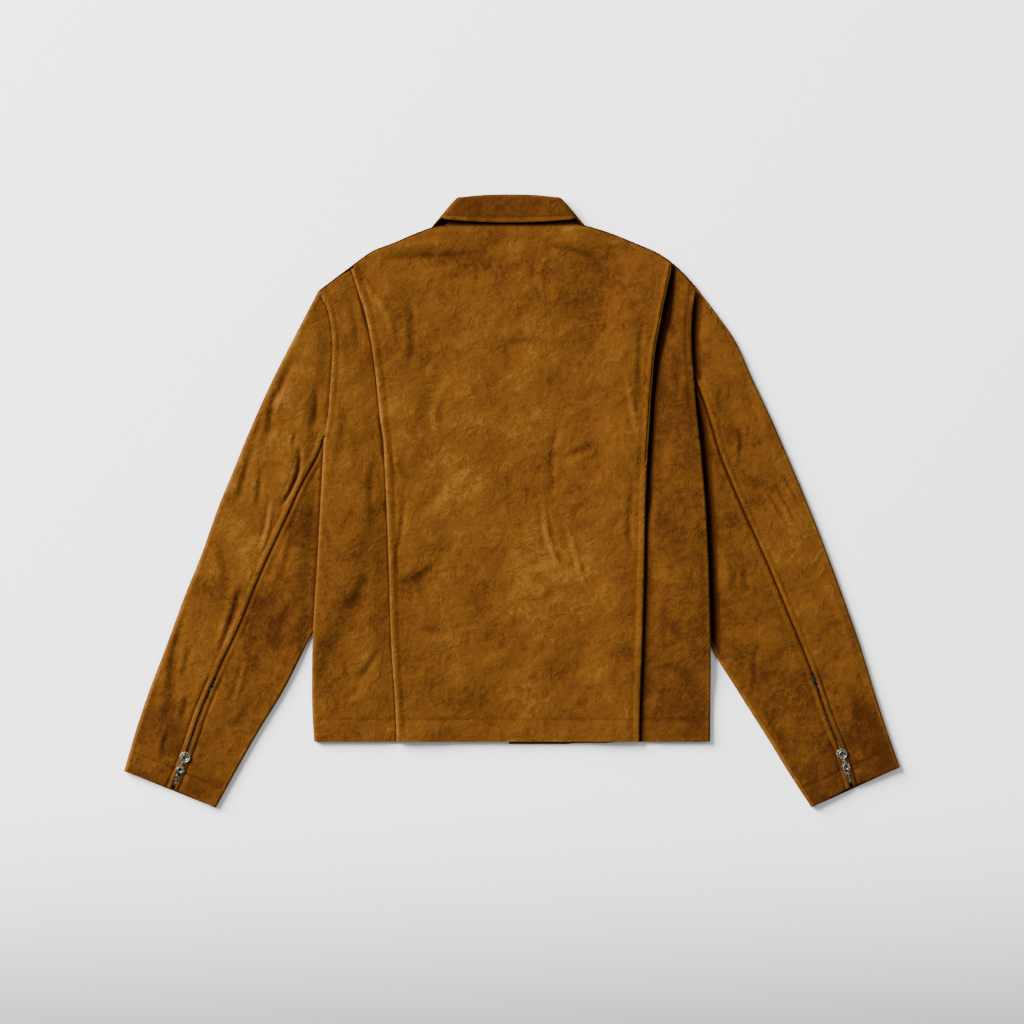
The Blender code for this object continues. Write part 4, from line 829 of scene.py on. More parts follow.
SLEEVE_CREASES = {
    "left": [
        (5, -1.8, 0.3, (-264, 182), (-280, 163), (-288, 142), (-299, 124), (-303, 88), (-312, 64)),
        (5, -1.6, 0.3, (-322, 70), (-332, 39), (-337, 20), (-344, -4)),
        (5, -1.5, -0.3, (-244, 152), (-245, 120), (-247, 104), (-252, 84)),
        (3, -0.9, 0.3, (-269, 88), (-274, 66)),
        (3.0, -2.9, -0.3, (-265, 66), (-266, 42), (-271, 24), (-280, 6), (-292, -10)),
        (8, 1.0, 0.0, (-275, 60), (-281, 40), (-289, 20)),
        (2.8, 1.3, 0.6, (-299, 6), (-304, -30), (-313, -62)),
        (4, -1.1, 0.4, (-311, 46), (-315, 20), (-317, -8)),
        (4, -1.7, 0.5, (-339, -106), (-345, -131), (-354, -158), (-364, -188)),
        (6, -1.0, 0.4, (-364, -50), (-358, -86), (-357, -114)),
        (6, -1.4, 0.4, (-406, -122), (-415, -154), (-424, -200), (-425, -236), (-432, -268)),
        (4, -1.1, 0.3, (-400, -180), (-405, -196), (-411, -218)),
        (4, -1.1, 0.3, (-405, -242), (-412, -274)),
        (3.4, -1.1, 0.3, (-428, -286), (-435, -306), (-434, -322)),
        (3, 0.7, 0.5, (-331, -196), (-338, -224), (-347, -252)),
        (6, -0.8, 0.3, (-322, -244), (-334, -266), (-344, -284)),
        (4, -0.8, 0.4, (-276, -36), (-279, -66), (-290, -100)),
        (9, -0.8, 0.4, (-262, -120), (-286, -150), (-300, -190))],
    "right": [
        (2.2, -0.8, 0.6, (338, 34), (350, 14), (361, -6)),
        (2.4, -0.8, 0.6, (329, 20), (343, -4), (356, -28)),
        (2.4, -0.7, 0.6, (320, 12), (332, -8), (344, -28)),
        (2.0, -0.6, 0.6, (347, 36), (355, 22), (362, 10)),
        (3, -0.8, 0.5, (285, 92), (286, 70), (284, 48)),
        (8, -0.8, 0.5, (290, 150), (298, 120), (312, 90)),
        (3.6, -0.9, 0.2, (312, -176), (303, -198), (306, -240)),
        (4, -1.0, 0.4, (290, -80), (294, -116)),
        (9, 0.9, 0.4, (384, -72), (410, -130), (434, -196)),
        (8, -0.9, 0.4, (428, -226), (434, -256), (440, -292)),
        (3.4, 0.7, 0.5, (436, -208), (446, -226), (456, -246)),
        (7, -0.9, 0.4, (310, -240), (322, -270), (334, -296), (350, -326)),
        (9, -0.8, 0.4, (262, -30), (276, -80), (286, -110))]}
UNDER_CREASES = {           # soft rises of the sleeves' hidden walls
    "left": [
        (8, 0.7, 0.0, (-252, 130), (-272, 100), (-280, 60)),
        (8, 0.8, 0.0, (-290, 20), (-312, -10), (-338, -22)),
        (9, 0.7, 0.0, (-330, -110), (-352, -140), (-384, -160)),
        (9, 0.6, 0.0, (-372, -210), (-388, -250), (-392, -290))],
    "right": [
        (8, 0.6, 0.0, (250, 150), (264, 110), (270, 74)),
        (9, 0.8, 0.0, (286, 40), (306, 0), (336, -20)),
        (9, 0.7, 0.0, (312, -80), (348, -110), (384, -110)),
        (9, 0.7, 0.0, (366, -180), (384, -226), (416, -260))]}


def sleeve_z(side, out, y):
    """Middle of a sleeve's shown wall, pressed down where the side back lies on it."""
    under = edge_at[side](np.maximum(y, -120.0)) - out
    tuck = smooth(-26, -6, under) * (1 - smooth(105, 150, y))
    by_arm = smooth(-22, -2, under) * smooth(105, 150, y) * (1 - smooth(246, 262, y))
    return HALF + mix(mix(SLEEVE_SEP, TUCK_SEP, tuck), ARM_SEP, by_arm)


def elbow_gap(side, y):
    """Half the distance between the two panels at the elbow seam and at the zipped slit."""
    below = smooth(ZIP_TOP_Y[side], ZIP_TOP_Y[side] - 2, y)
    top = ZIP_GAP_TOP * hump(y - ZIP_TOP_Y[side] + 12, 12)
    return SEAM / 2 + below * (ZIP_GAP + top + (ZIP_GAP_CUFF - ZIP_GAP) * smooth(-300, -330, y))


def elbow_seam(side, d, y, raised):
    """Profile across the elbow seam: a deep line, a raised topstitched edge beside it, and the zip's fly."""
    fly = smooth(ZIP_TOP_Y[side] + 8, ZIP_TOP_Y[side] - 6, y)
    seam = raised * hump(d - 4.2, 2.4) - 2.0 * hump(d, 1.0) - 0.4 * hump(d - 8.5, 1.8)
    return seam + fly * (0.5 * hump(d - 4.0, 2.0) - 0.9 * hump(d - 7.6, 1.4))


def armhole_out(side, y):
    """Distance out of the sleeve's top edge, which runs in under the side back near the armpit."""
    return edge_at[side](y) + SEAM / 2 - UNDERLAP * smooth(104, 84, y)


def table_line(points, count):
    """A line through a table's rows, evenly numbered so that lines of one table stay abreast."""
    dense = bowed(points, 40)
    return read_off(dense, np.arange(len(dense)), np.linspace(0, len(dense) - 1, count))


def sleeve_lines(side, count):
    """A sleeve's outer edge, elbow seam and inner edge, abreast of each other."""
    return (table_line(lines[side], count) for lines in (SLEEVE_OUTER, SLEEVE_ELBOW, SLEEVE_INNER))


def sleeve_fold(side, line, into):
    """A sleeve's folded edge, from its shown wall round to its hidden one."""
    reach = line + into * FOLD_REACH
    high = sleeve_z(side, reach[:, 0], reach[:, 1])
    return rolled(line[:, 0], line[:, 1], into, np.full(len(line), HALF), high)


def carried(starts, ends, first_row, decay):
    """Rows from starts to ends that keep part of the first row's bow."""
    at = travelled(first_row)
    share = (at / at[-1])[None, :, None]
    straight = mix(first_row[0], first_row[-1], share[0])
    rows = mix(starts[:, None], ends[:, None], share)
    return rows + (first_row - straight)[None] * decay[:, None, None]


def sleeve_panel(kind, side, shown, fold, hidden, wear_and_shade, fold_wear_and_shade):
    """One sleeve panel of its shown wall, its folded edge and its hidden wall."""
    fold[..., 0] *= SIGN[side]
    fold[:, 0] = shown[:, -1]
    grid = np.concatenate([shown[:, :-1], fold, hidden], axis=1)
    # the fold is rubbed lighter on top and painted darker as shade where it turns under; the hidden wall is
    # painted darker too
    rub_and_shade = np.concatenate([wear_and_shade[:, :-1], np.tile([*fold_wear_and_shade, 0.1, 0, -0.1, -0.2, -0.2], (len(wear_and_shade), 1)),
                          np.full(hidden.shape[:2], -0.1)], axis=1)
    return cloth(f"sleeve_{kind}_panel_{side}", [grid], f"sleeve_{kind}_{side}", suede, [rub_and_shade])


for side, sign in SIGN.items():
    rows = int(SLEEVE_LENGTH / FINE)
    share = np.linspace(0, 1, rows)
    outer, elbow, inner = sleeve_lines(side, rows)
    section = unit(inner - outer)
    gap = elbow_gap(side, elbow[:, 1])[:, None]
    elbow_y = SLEEVE_ELBOW[side][0][1]

    turn = (1 - smooth(0, 0.08, share))[:, None]
    fold = sleeve_fold(side, outer, unit(mix(square_to(outer, elbow), SHOULDER_CORNER, turn)))
    top_y = np.linspace(fold[0, 0, 1], elbow_y + SEAM, 60)[1:]
    armhole = np.vstack([fold[0, :1, :2], np.column_stack([armhole_out(side, top_y), top_y])])
    armhole = walk(armhole, int(TOP_WIDTH / FINE))
    seam_end = elbow - section * gap
    seam_end[0] = armhole[-1]
    top = carried(fold[:, 0, :2], seam_end, armhole, 1 - smooth(0, 0.36, share))[:, ::-1]
    below_y = np.linspace(ARM_TOP_Y, ARMHOLE_FOOT_Y, 20)
    below_out = seam_under(side, below_y) + 2 * SEAM - UNDERLAP * smooth(104, 84, below_y)
    below = np.column_stack([below_out, below_y])
    below = walk(np.vstack([fold[0, -1:, :2], below]), 24)
    front_seam = inner - section * FRONT_SEAM_INSET
    front_seam[0] = below[-1]
    lower = carried(fold[:, -1, :2], front_seam, below, 1 - smooth(0, 0.36, share))[:, 1:]
    out, y = top[..., 0], top[..., 1]
    x = sign * out
    to_seam, _ = away_from(out, y, elbow)
    to_arm, _ = away_from(out, y, armhole)
    to_cuff = away_from(out, y, [outer[-1], inner[-1]])[0]
    to_outer, _ = away_from(out, y, outer)
    relief = worn(x, y, SLEEVE_CREASES[side], (31 + int(sign), 80, 0.6), (41 + int(sign), 30, 0.25))
    relief *= (smooth(3, 11, to_seam) * smooth(2, 16, to_arm)
               * smooth(3, 12, to_outer) * smooth(2, 14, to_cuff))
    seams = stitched_edge(to_cuff, 0.5, CUFF_STITCH)
    seams += elbow_seam(side, to_seam, y, 0.5) * smooth(0, 12, to_arm)
    shown = np.dstack([x, y, sleeve_z(side, out, y) + relief + seams])
    wear_and_shade = rub_and_shade_of(relief) + 0.18 * hump(to_outer, 4.0)
    # a paler raised edge beside the elbow seam, and painted shade in the seam's gap
    wear_and_shade += 0.12 * hump(to_seam - 4.0, 1.8) - 0.95 * hump(to_seam, 1.6)
    depth, width = ARM_SHADE[side][0]
    wear_and_shade -= depth * hump(to_arm, width, 4)
    wear_and_shade -= 0.18 * hump(to_cuff - CUFF_STITCH, 1.8) + 0.38 * smooth(140, 40, to_cuff)
    # painted shade: the right sleeve, away from the key lamp, is darker, most near its shoulder
    wear_and_shade -= 0.0 if side == "left" else 0.06 + 0.22 * hump(y - 225, 55)
    lie = HALF + creased(sign * lower[..., 0], lower[..., 1], UNDER_CREASES[side])
    hidden = np.dstack([sign * lower[..., 0], lower[..., 1], lie])
    sleeve_panel("top", side, shown, fold, hidden, wear_and_shade, (0.22, 0.2))

    fold = sleeve_fold(side, inner, square_to(inner, elbow))
    shown_y = np.linspace(elbow_y - SEAM, ARMPIT_Y, 30)
    armhole = np.column_stack([armhole_out(side, shown_y), shown_y])
    armhole = walk(np.vstack([armhole, fold[0, :1, :2]]), int(UNDER_WIDTH / FINE))
    seam_start = elbow + section * gap
    seam_start[0] = armhole[0]
    top = carried(seam_start, fold[:, 0, :2], armhole, 1 - smooth(0, 0.3, share))
    seam_end = inner - section * (FRONT_SEAM_INSET - 2 * SEAM)
    seam_end[0] = (seam_under(side, ARMHOLE_FOOT_Y) + 2 * SEAM - UNDERLAP, ARMHOLE_FOOT_Y - 1)
    lower = mix(fold[:, -1:, :2], seam_end[:, None], np.linspace(0, 1, 7)[None, 1:, None])
    out, y = top[..., 0], top[..., 1]
    x = sign * out
    to_seam, _ = away_from(out, y, elbow)
    to_cuff = away_from(out, y, [outer[-1], inner[-1]])[0]
    to_inner, _ = away_from(out, y, inner)
    to_body = out - edge_at[side](y)
    relief = worn(x, y, SLEEVE_CREASES[side], (51 + int(sign), 80, 0.6), (55 + int(sign), 30, 0.25))
    relief *= (smooth(3, 11, to_seam) * smooth(3, 16, to_inner)
               * smooth(2, 14, to_cuff) * smooth(2, 14, to_body))
    seams = stitched_edge(to_cuff, 0.5, CUFF_STITCH) + elbow_seam(side, to_seam, y, 0.3)
    shown = np.dstack([x, y, sleeve_z(side, out, y) + relief + seams])
    # the under sleeve is darker all over, partly as painted shade from the body beside it and partly for its
    # nap laid another way; painted shade in the seam's gap
    wear_and_shade = rub_and_shade_of(relief) + 0.14 * hump(to_inner, 4.0) - 0.24 - 0.10 * smooth(140, 40, to_cuff)
    wear_and_shade += 0.1 * hump(to_seam - 4.0, 1.8) - 0.95 * hump(to_seam, 1.6)
    depth, width = ARM_SHADE[side][1]
    wear_and_shade -= depth * hump(np.maximum(to_body, 0), width, 4)
    wear_and_shade -= 0.18 * hump(to_cuff - CUFF_STITCH, 1.8)
    hidden = np.dstack([sign * lower[..., 0], lower[..., 1], np.full(lower.shape[:2], HALF)])
    sleeve_panel("under", side, shown, fold, hidden, wear_and_shade, (0.2, 0.18))

# ---------------------------------------------------------------- collar
# The collar is a stand sewn to the neck and a fall turned down over it, topstitched along its free
# edge. Both run round to the front, where they are folded under and lie on the table.
COLLAR_MIDDLE_X, COLLAR_TOP_HALF, COLLAR_TOP_Y, COLLAR_CROWN, COLLAR_EDGE_Y = -4.0, 63.0, 379.0, 4.6, 348.4
COLLAR_SLANT = (24.5, -30.0)                    # direction of its two slanted ends
COLLAR_SIDE_WIDTH, STAND_SIDE_WIDTH, COLLAR_FOLD_SEP, COLLAR_SPARE = 35.8, 34.4, 3.2, 18.0
COLLAR_FOLD_Z, COLLAR_FREE_Z = 11.6, 12.4       # middle of the fall at its fold and at its free edge
COLLAR_STITCH, STAND_INSET, STAND_POINTS = 6.5, 1.6, 12
BACK_ROWS, TURN_ROWS, LEAF_ROWS = 46, 12, 24    # behind the neck, round its side, and in front
COLLAR_NECKLINE = {
    "left": [(-86, 345), (-80, 318), (-58, 289), (-30, 273), (-10.6, 267)],
    "right": [(85, 346), (76, 318), (50, 289), (18, 273), (-5.4, 267)]}


def collar_across(width, fall):
    """Across the collar: distance from the fold, depth under the top layer, distance from the free edge."""
    radius = COLLAR_FOLD_SEP / 2
    if not fall:
        start = HALF + radius + STAND_INSET
        spots = mix(start, width, np.linspace(0, 1, STAND_POINTS) ** 0.6)
        return [(a, COLLAR_FOLD_SEP, 30) for a in spots]
    leg = [(a, 0.0, width - a) for a in np.linspace(width, HALF + radius, 20)[:-1]]
    turn = pi * np.arange(7) / 6
    return leg + [(HALF + radius - radius * sin(t), radius - radius * cos(t), width + 4) for t in turn]


def collar_rows(side, fall):
    """Rows of points, and of distances from the free edge, from the collar's middle to its front end."""
    sign = SIGN[side]
    slant = Vector((sign * COLLAR_SLANT[0], COLLAR_SLANT[1])).normalized()
    outwards = Vector((-slant.y * sign, slant.x * sign))
    outwards = outwards if outwards.x * sign > 0 else -outwards
    fold_end = Vector((COLLAR_MIDDLE_X + sign * (COLLAR_TOP_HALF - 5.5), COLLAR_TOP_Y + 1.0))
    edge_end = fold_end + slant * COLLAR_SIDE_WIDTH
    rows, from_edge = [], []
    for share in np.arange(BACK_ROWS) / BACK_ROWS:
        fold = Vector((mix(COLLAR_MIDDLE_X, fold_end.x, share),
                       mix(fold_end.y, COLLAR_TOP_Y + COLLAR_CROWN, 1 - share ** 2.5)))
        free = Vector((mix(COLLAR_MIDDLE_X, edge_end.x, share), mix(COLLAR_EDGE_Y, edge_end.y, share ** 2)))
        across = (free - fold).normalized()
        width = (free - fold).length
        reach = width if fall else (fold.y - NECK_Y - SEAM) / -across.y
        section = collar_across(reach, fall)
        row = []
        for a, b, d in section:
            z = COLLAR_FOLD_Z - (COLLAR_FOLD_Z - COLLAR_FREE_Z) * a / width - b
            if fall:
                z += float(stitched_edge(np.array(d), 0.45, COLLAR_STITCH)) * (b == 0)
            else:                    # the stand bends down to its seam with the back
                z = mix(z, NECK_Z + 0.4, float(smooth(reach - 8, reach, a)))
            row.append((*(fold + across * a), z))
        rows.append(row)
        from_edge.append([d for _, _, d in section])
    for angle in pi * np.arange(TURN_ROWS + 1) / TURN_ROWS:
        row = []
        section = collar_across(COLLAR_SIDE_WIDTH if fall else STAND_SIDE_WIDTH, fall)
        spare = COLLAR_SPARE * smooth(0.15 * pi, 0.5 * pi, angle)
        for a, b, d in section:
            high = COLLAR_FOLD_Z - (COLLAR_FOLD_Z - COLLAR_FREE_Z) * a / COLLAR_SIDE_WIDTH
            turn = (high - HALF) / 2 - b
            away = Vector((sign, 0.1)).lerp(outwards, float(smooth(0, 14, a))).normalized()
            place = fold_end + slant * a * (1 + spare / COLLAR_SIDE_WIDTH) + away * (turn * sin(angle))
            row.append((*place, (high + HALF) / 2 + turn * cos(angle)))
        rows.append(row)
        from_edge.append([d for _, _, d in section])
    leaf = COLLAR_LEAF[side]
    fold_line = bowed([tuple(fold_end), leaf[1], leaf[2]], 12)
    edge_line = bowed([tuple(edge_end), leaf[4], leaf[3]], 12)
    neck_line = bowed(COLLAR_NECKLINE[side], 12)
    for share in np.arange(1, LEAF_ROWS + 1) / LEAF_ROWS:
        fold, free, neck = (Vector(read_off(line, np.arange(len(line)), [share * (len(line) - 1)])[0])
                            for line in (fold_line, edge_line, neck_line))
        across = (free - fold).normalized()
        section = collar_across((free - fold).length, fall)
        if fall:
            rows.append([(*(fold + across * a), HALF + b) for a, b, _ in section])
        else:
            start = fold + across * (HALF + COLLAR_FOLD_SEP / 2 + STAND_INSET)
            end = neck + (start - neck).normalized() * 2 * SEAM
            rows.append([(*start.lerp(end, part), HALF + COLLAR_FOLD_SEP)
                         for part in np.linspace(0, 1, STAND_POINTS)])
        from_edge.append([d for _, _, d in section])
    return rows, from_edge


for name, fall in (("collar_fall", True), ("collar_stand", False)):
    (left, left_edge), (right, right_edge) = collar_rows("left", fall), collar_rows("right", fall)
    grid = np.array(left[:0:-1] + right)
    from_edge = np.array(left_edge[:0:-1] + right_edge)
    rub_and_shade = 0.19 * hump(from_edge - 3.2, 2.2) - 0.24 * hump(from_edge - COLLAR_STITCH, 1.5)
    rub_and_shade += 0.10 * hump(from_edge - from_edge.max(axis=1)[:, None], 5.0) - 0.38
    side_turn = np.abs(np.arange(len(grid)) - (len(grid) - 1) / 2) - (BACK_ROWS + 1)
    # painted shade on the collar's turned ends, near their free edge
    rub_and_shade -= 0.5 * smooth(0, 5, side_turn)[:, None] * smooth(16, 4, from_edge)
    grid[..., 2] += rolling(grid[..., 0], grid[..., 1], 61, 40, 0.25) * smooth(3, 0, side_turn)[:, None]
    # painted shade on the stand, which lies under the fall
    if not fall:
        rub_and_shade -= 1.0
    piece = cloth(name + "_leaf", [grid], name, suede, [rub_and_shade])

# ---------------------------------------------------------------- zips
# Metal zips, antique nickel on dark brown tape: one closes each cuff's slit, and one, hidden
# underneath, closes the front. Each pull is a flat tab with two eyes, hung on the slider's arch.
TAPE_DROP, TAPE_THICK, TAPE_EDGES = 1.6, 0.6, (2.2, 13.0)
TEETH_DROP, TEETH_OFFSET, SLIDER_REACH = 1.05, 0.65, 21
TOOTH = {"Pitch": 2.2, "Across": 2.7, "High": 1.5, "Along": 1.05}
PULL_TOP = 0.6              # the pull's upper face over its hinge
PULL_RIMS = [               # distance from the hinge, radius, bead
    (27.0, 5.8, 0.8), (27.0, 3.2, 0.55), (10.0, 3.2, 0.6)]
HINGE = {                   # middle of each cuff pull's hinge, and the pull's direction from it
    "left": ((-418.214, -344.547, 8.4), (0.371557, 0.92841)),
    "right": ((419.633, -341.134, 8.4), (-0.282078, 0.959391))}


def mottled_look(name, roughness, shine, texture, scale, tones, strength, distance):
    """A look whose two tones and whose fine relief follow one texture."""
    look, nodes, link, shader = new_look(name, roughness, shine)
    place = nodes.new("ShaderNodeTexCoord")
    pattern = nodes.new(texture)
    pattern.inputs["Scale"].default_value = scale
    ramp = nodes.new("ShaderNodeValToRGB")
    for stop, (position, colour) in zip(ramp.color_ramp.elements, tones):
        stop.position, stop.color = position, (*colour, 1)
    bump = nodes.new("ShaderNodeBump")
    bump.inputs["Strength"].default_value = strength
    bump.inputs["Distance"].default_value = distance
    link(place.outputs["Object"], pattern.inputs["Vector"])
    link(pattern.outputs["Fac"], ramp.inputs["Fac"])
    link(pattern.outputs["Fac"], bump.inputs["Height"])
    link(ramp.outputs["Color"], shader.inputs["Base Color"])
    link(bump.outputs["Normal"], shader.inputs["Normal"])
    return look, pattern


nickel, tarnish = mottled_look("antique_nickel", 0.4, 0.5, "ShaderNodeTexNoise", 420,
                               ((0.42, (0.022, 0.019, 0.013)), (0.62, (0.30, 0.29, 0.225))), 0.25, 0.0002)
tarnish.inputs["Detail"].default_value = 5
nickel_nodes = nickel.node_tree.nodes
nickel_shader = nickel_nodes["Principled BSDF"]
nickel_shader.inputs["Metallic"].default_value = 1.0
polish = nickel_nodes.new("ShaderNodeMapRange")       # the tarnish is rough and the worn metal smooth
polish.inputs["To Min"].default_value, polish.inputs["To Max"].default_value = 0.55, 0.26
nickel.node_tree.links.new(tarnish.outputs["Fac"], polish.inputs["Value"])
nickel.node_tree.links.new(polish.outputs["Result"], nickel_shader.inputs["Roughness"])
tape_cloth, weave = mottled_look("zip_tape", 0.9, 0.2, "ShaderNodeTexWave", 260,
                                 ((0.0, (0.012, 0.006, 0.003)), (1.0, (0.045, 0.022, 0.009))), 0.4, 0.0003)
weave.inputs["Distortion"].default_value = 2.0


def beside(line, offset, drop):
    """A line beside and below another."""
    run = unit(np.gradient(line[:, :2], axis=0))
    return np.column_stack([line[:, 0] + run[:, 1] * offset, line[:, 1] - run[:, 0] * offset,
                            line[:, 2] - drop])


def threaded(name, lines, sizes, look, kind):
    """Many small like pieces along lines, by Geometry Nodes, as one plain mesh: stitches or teeth."""
    path = bpy.data.curves.new(name, "CURVE")
    path.dimensions = "3D"
    path.twist_mode = "Z_UP"
    for line in lines:
        spline = path.splines.new("POLY")
        spline.points.add(len(line) - 1)
        spline.points.foreach_set("co", np.column_stack([np.asarray(line) * MM, np.ones(len(line))]).ravel())
    holder = put(name + "_path", path)
    tree = bpy.data.node_groups.new(name + "_along_path", "GeometryNodeTree")
    tree.interface.new_socket("Path", in_out="INPUT", socket_type="NodeSocketGeometry")
    for label in sizes:
        tree.interface.new_socket(label, in_out="INPUT", socket_type="NodeSocketFloat")
    tree.interface.new_socket("Look", in_out="INPUT", socket_type="NodeSocketMaterial")
    tree.interface.new_socket("Geometry", in_out="OUTPUT", socket_type="NodeSocketGeometry")
    nodes, link = tree.nodes, tree.links.new
    given, result = nodes.new("NodeGroupInput"), nodes.new("NodeGroupOutput")
    spots = nodes.new("GeometryNodeCurveToPoints")
    spots.mode = "LENGTH"
    link(given.outputs["Path"], spots.inputs["Curve"])
    link(given.outputs["Pitch"], spots.inputs["Length"])
    if kind == "stitch":
        shape = nodes.new("GeometryNodeMeshCylinder")
        shape.inputs["Vertices"].default_value = 6
        link(given.outputs["Thread"], shape.inputs["Radius"])
        link(given.outputs["Length"], shape.inputs["Depth"])
    else:
        shape = nodes.new("GeometryNodeMeshCube")
        size = nodes.new("ShaderNodeCombineXYZ")
        for axis, label in (("X", "Across"), ("Y", "High"), ("Z", "Along")):
            link(given.outputs[label], size.inputs[axis])
        link(size.outputs["Vector"], shape.inputs["Size"])
    placed = nodes.new("GeometryNodeInstanceOnPoints")
    link(spots.outputs["Points"], placed.inputs["Points"])
    link(shape.outputs["Mesh"], placed.inputs["Instance"])
    link(spots.outputs["Rotation"], placed.inputs["Rotation"])
    real = nodes.new("GeometryNodeRealizeInstances")
    painted = nodes.new("GeometryNodeSetMaterial")
    link(placed.outputs["Instances"], real.inputs["Geometry"])
    link(real.outputs["Geometry"], painted.inputs["Geometry"])
    link(given.outputs["Look"], painted.inputs["Material"])
    link(painted.outputs["Geometry"], result.inputs["Geometry"])
    modifier = holder.modifiers.new("along_path", "NODES")
    modifier.node_group = tree
    names = {item.name: item.identifier for item in tree.interface.items_tree if item.in_out == "INPUT"}
    for label, value in sizes.items():
        modifier[names[label]] = value * MM
    modifier[names["Look"]] = look
    bpy.context.view_layer.update()
    data = bpy.data.meshes.new_from_object(holder.evaluated_get(bpy.context.evaluated_depsgraph_get()))
    bpy.data.objects.remove(holder)
    data.name = name
    data.shade_smooth() if kind == "stitch" else data.shade_flat()
    made = put(name, data)
    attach(made, "jacket")
    return made


def finer(node, body, width):
    """A CAD node's own shape again, with its edges softly rounded."""
    form = bmesh.new()
    form.from_mesh(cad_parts[node].data)
    bmesh.ops.remove_doubles(form, verts=form.verts, dist=0.00001)
    bmesh.ops.dissolve_limit(form, angle_limit=radians(1), verts=form.verts, edges=form.edges)
    data = bpy.data.meshes.new(node + "_metal")
    form.to_mesh(data)
    form.free()
    data.materials.clear()
    data.materials.append(nickel)
    data.shade_smooth()
    made = put(node + "_metal", data)
    rounded = made.modifiers.new("rounded", "BEVEL")
    rounded.width = width * MM
    rounded.segments = 2
    rounded.limit_method = "ANGLE"
    rounded.angle_limit = radians(35)
    rounded.harden_normals = True
    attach(made, body)
    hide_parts(node)


def raised_rims(name, hinge, along, body):
    """The cast beads round a pull's end and round its two eyes."""
    around, across = 32, 8          # points round a rim and round its bead
    points, faces = [], []
    for distance, radius, bead in PULL_RIMS:
        first = len(points)
        middle = Vector(hinge) + Vector((*along, 0)) * distance + Vector((0, 0, PULL_TOP))
        for i in range(around):
            for j in range(across):
                turn, roll = 2 * pi * i / around, 2 * pi * j / across
                out = radius + bead * cos(roll)
                spot = middle + Vector((out * cos(turn), out * sin(turn), bead * sin(roll)))
                points.append(tuple(spot * MM))
                corners = ((i, j), (i + 1, j), (i + 1, j + 1), (i, j + 1))
                faces.append([first + (a % around) * across + b % across for a, b in corners])
    data = bpy.data.meshes.new(name)
    data.from_pydata(points, [], faces)
    data.shade_smooth()
    data.materials.append(nickel)
    made = put(name, data)
    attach(made, body)


def zip_of(name, line, teeth_stop, faces_up, body):
    """Tapes and staggered teeth along a zip's middle line, with its slider and pull."""
    near, far = TAPE_EDGES
    for part, offsets in (("a", (-far, -near)), ("b", (near, far))):
        strips = [beside(line, offset, TAPE_DROP * faces_up) for offset in np.linspace(*offsets, 5)]
        node = f"{name}_tape_{part}"
        tape = cloth(node + "_woven", [np.stack(strips, axis=1)], node, tape_cloth, thickness=TAPE_THICK)
    closed = line[teeth_stop:]
    rows = []
    for offset, lag in ((-TEETH_OFFSET, 0.0), (TEETH_OFFSET, TOOTH["Pitch"] / 2)):
        moved = beside(closed, offset, TEETH_DROP * faces_up)
        at = travelled(moved)
        rows.append(read_off(moved, at, np.linspace(lag, at[-1] - 0.01, len(at))))
    teeth = threaded(name + "_teeth", rows, TOOTH, nickel, "tooth")
    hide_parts(name + "_chain")
    finer(name + "_slider", "jacket", 0.3)
    finer(name + "_pull", body, 0.25)


for side, sign in SIGN.items():
    elbow = table_line(SLEEVE_ELBOW[side], 400)
    shown = elbow[elbow[:, 1] < ZIP_TOP_Y[side] - 4][:-1]
    line = np.column_stack([sign * shown[:, 0], shown[:, 1], sleeve_z(side, shown[:, 0], shown[:, 1])])
    line = line[::-1]
    stop = int(np.searchsorted(travelled(line), SLIDER_REACH))      # no teeth under and below the slider
    zip_of("cuff_zip_" + side, line, stop, 1, side + "_cuff_pull")
    raised_rims(f"cuff_zip_{side}_pull_rims", *HINGE[side], side + "_cuff_pull")
line_y = np.linspace(FRONT_TOP_Y - 5, HEM_Y + 2, 200)
line_x = np.full(200, FRONT_LINE_X)
front_line = np.column_stack([line_x, line_y, front_z("left", -line_x, line_y)])
zip_of("front_zip", front_line, 8, -1, "front_pull")

# ---------------------------------------------------------------- topstitching
# Thread a little lighter than the suede holds down the hem, the pleats' edges, the armholes, the
# collar's edge and the cuffs' hems, in stitches 3.6 mm apart.
STITCH = {"Pitch": 3.6, "Thread": 0.3, "Length": 2.7}
STEP, ELBOW_STITCH = 3, 4.6

thread_look, _, _, thread_shader = new_look("tan_thread", 0.95, 0.0)
thread_shader.inputs["Base Color"].default_value = (0.062, 0.020, 0.0016, 1)

bpy.context.view_layer.update()
evaluated = bpy.context.evaluated_depsgraph_get()
upper_cloth = [BVHTree.FromObject(item, evaluated) for item in bpy.data.objects
               if item.type == "MESH" and item.name.startswith(("back_", "sleeve_", "collar_fall_leaf"))
               and not item.hide_render]


def on_cloth(line, sink=0.12):
    """The line laid on the highest cloth under it."""
    laid_line = []
    for px, py in np.asarray(line)[:, :2]:
        above = Vector((px * MM, py * MM, 0.1))
        hits = [tree.ray_cast(above, Vector((0, 0, -1)))[0] for tree in upper_cloth]
        found = [hit.z / MM for hit in hits if hit is not None]
        if found:
            laid_line.append((px, py, max(found) - sink))
    return laid_line


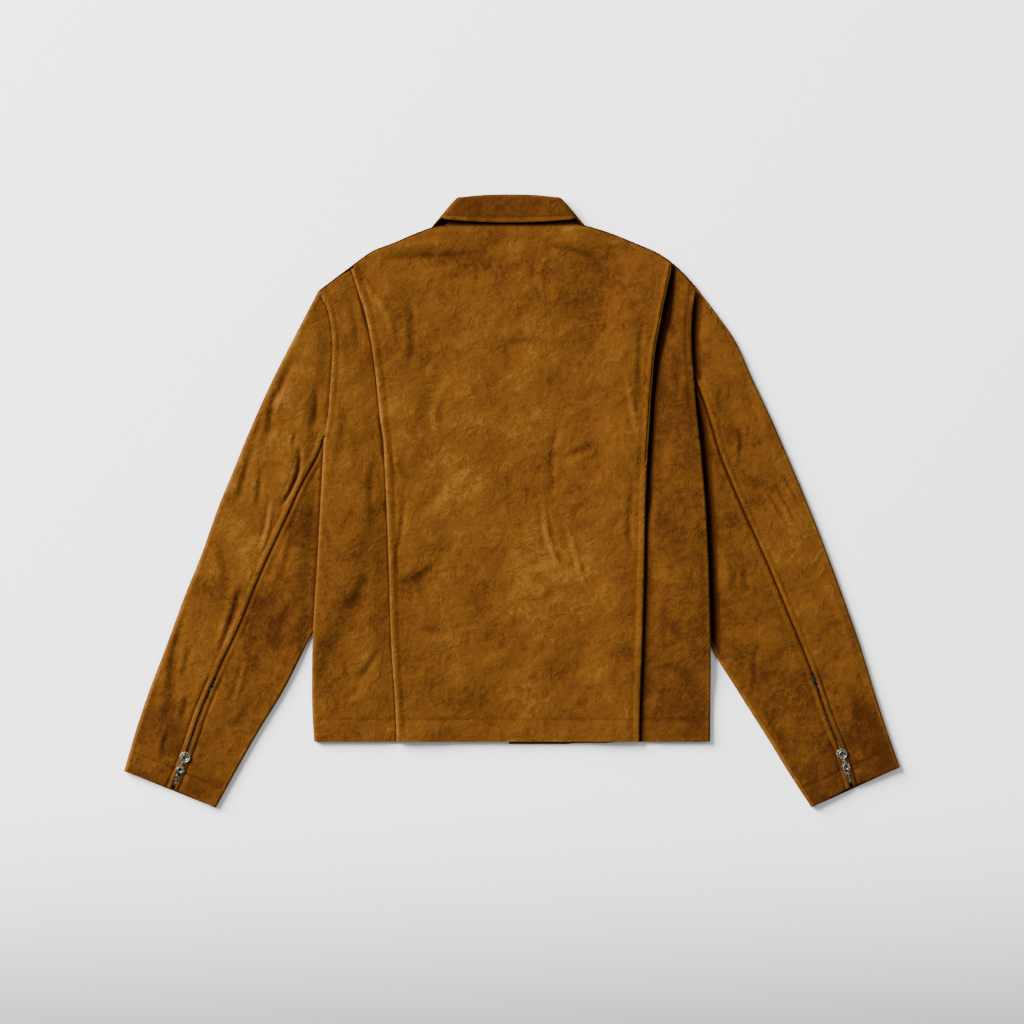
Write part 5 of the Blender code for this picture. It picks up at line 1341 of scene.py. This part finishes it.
sewn = []
for side, sign in SIGN.items():
    pleat_y = np.arange(HEM_Y + 3, heights[side][-1] - 4, STEP)
    sewn.append(np.column_stack([sign * (pleat_at[side](pleat_y) - PLEAT_STITCH), pleat_y]))
    hem_out = np.arange(pleat_at[side](HEM_Y) + 3, edge_at[side](HEM_Y) - 3, STEP)
    for up in (HEM_STITCH, HEM_EDGE_STITCH):
        sewn.append(np.column_stack([sign * hem_out, np.full(len(hem_out), HEM_Y + up)]))
    arm_y = np.arange(ARMPIT_Y + 16, ARM_TOP_Y - 4, STEP)
    sewn.append(np.column_stack([sign * (edge_at[side](arm_y) - ARMHOLE_STITCH), arm_y]))
    outer, elbow, inner = sleeve_lines(side, 300)
    across = (inner[-1] - outer[-1]) / np.linalg.norm(inner[-1] - outer[-1])
    back_up = np.array([across[1], -across[0]])
    back_up = back_up if back_up[1] > 0 else -back_up
    for first, last in ((outer[-1] + across * 4, elbow[-1] - across * 9),
                        (elbow[-1] + across * 9, inner[-1] - across * 4)):
        cuff = mix(first, last, np.linspace(0, 1, 12)[:, None]) + back_up * CUFF_STITCH
        cuff[:, 0] *= sign
        sewn.append(cuff)
    run, section = elbow[4:], unit((inner - outer)[4:])
    for away in (-ELBOW_STITCH, ELBOW_STITCH):
        row = (run + section * (away + np.sign(away) * elbow_gap(side, run[:, 1])[:, None]))[:-14]
        clear = (row[:, 0] > edge_at[side](row[:, 1]) + 1) | (row[:, 1] > ARMPIT_Y)
        row = row[clear]
        row[:, 0] *= sign
        sewn.append(row)
hem_x = np.arange(-(pleat_at["left"](HEM_Y) - 14), pleat_at["right"](HEM_Y) - 14, STEP)
for up in (HEM_STITCH, HEM_EDGE_STITCH):
    sewn.append(np.column_stack([hem_x, np.full(len(hem_x), HEM_Y + up)]))
collar_x = np.linspace(-86, 78, 50)
collar_y = COLLAR_EDGE_Y + COLLAR_STITCH + 5.0 * (np.abs(collar_x - COLLAR_MIDDLE_X) / 84) ** 2
sewn.append(np.column_stack([collar_x, collar_y]))
sewn = [line for line in map(on_cloth, sewn) if len(line) > 3]
stitches = threaded("topstitching", sewn, STITCH, thread_look, "stitch")

# ---------------------------------------------------------------- the shown objects' bounds, at the end
low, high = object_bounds()
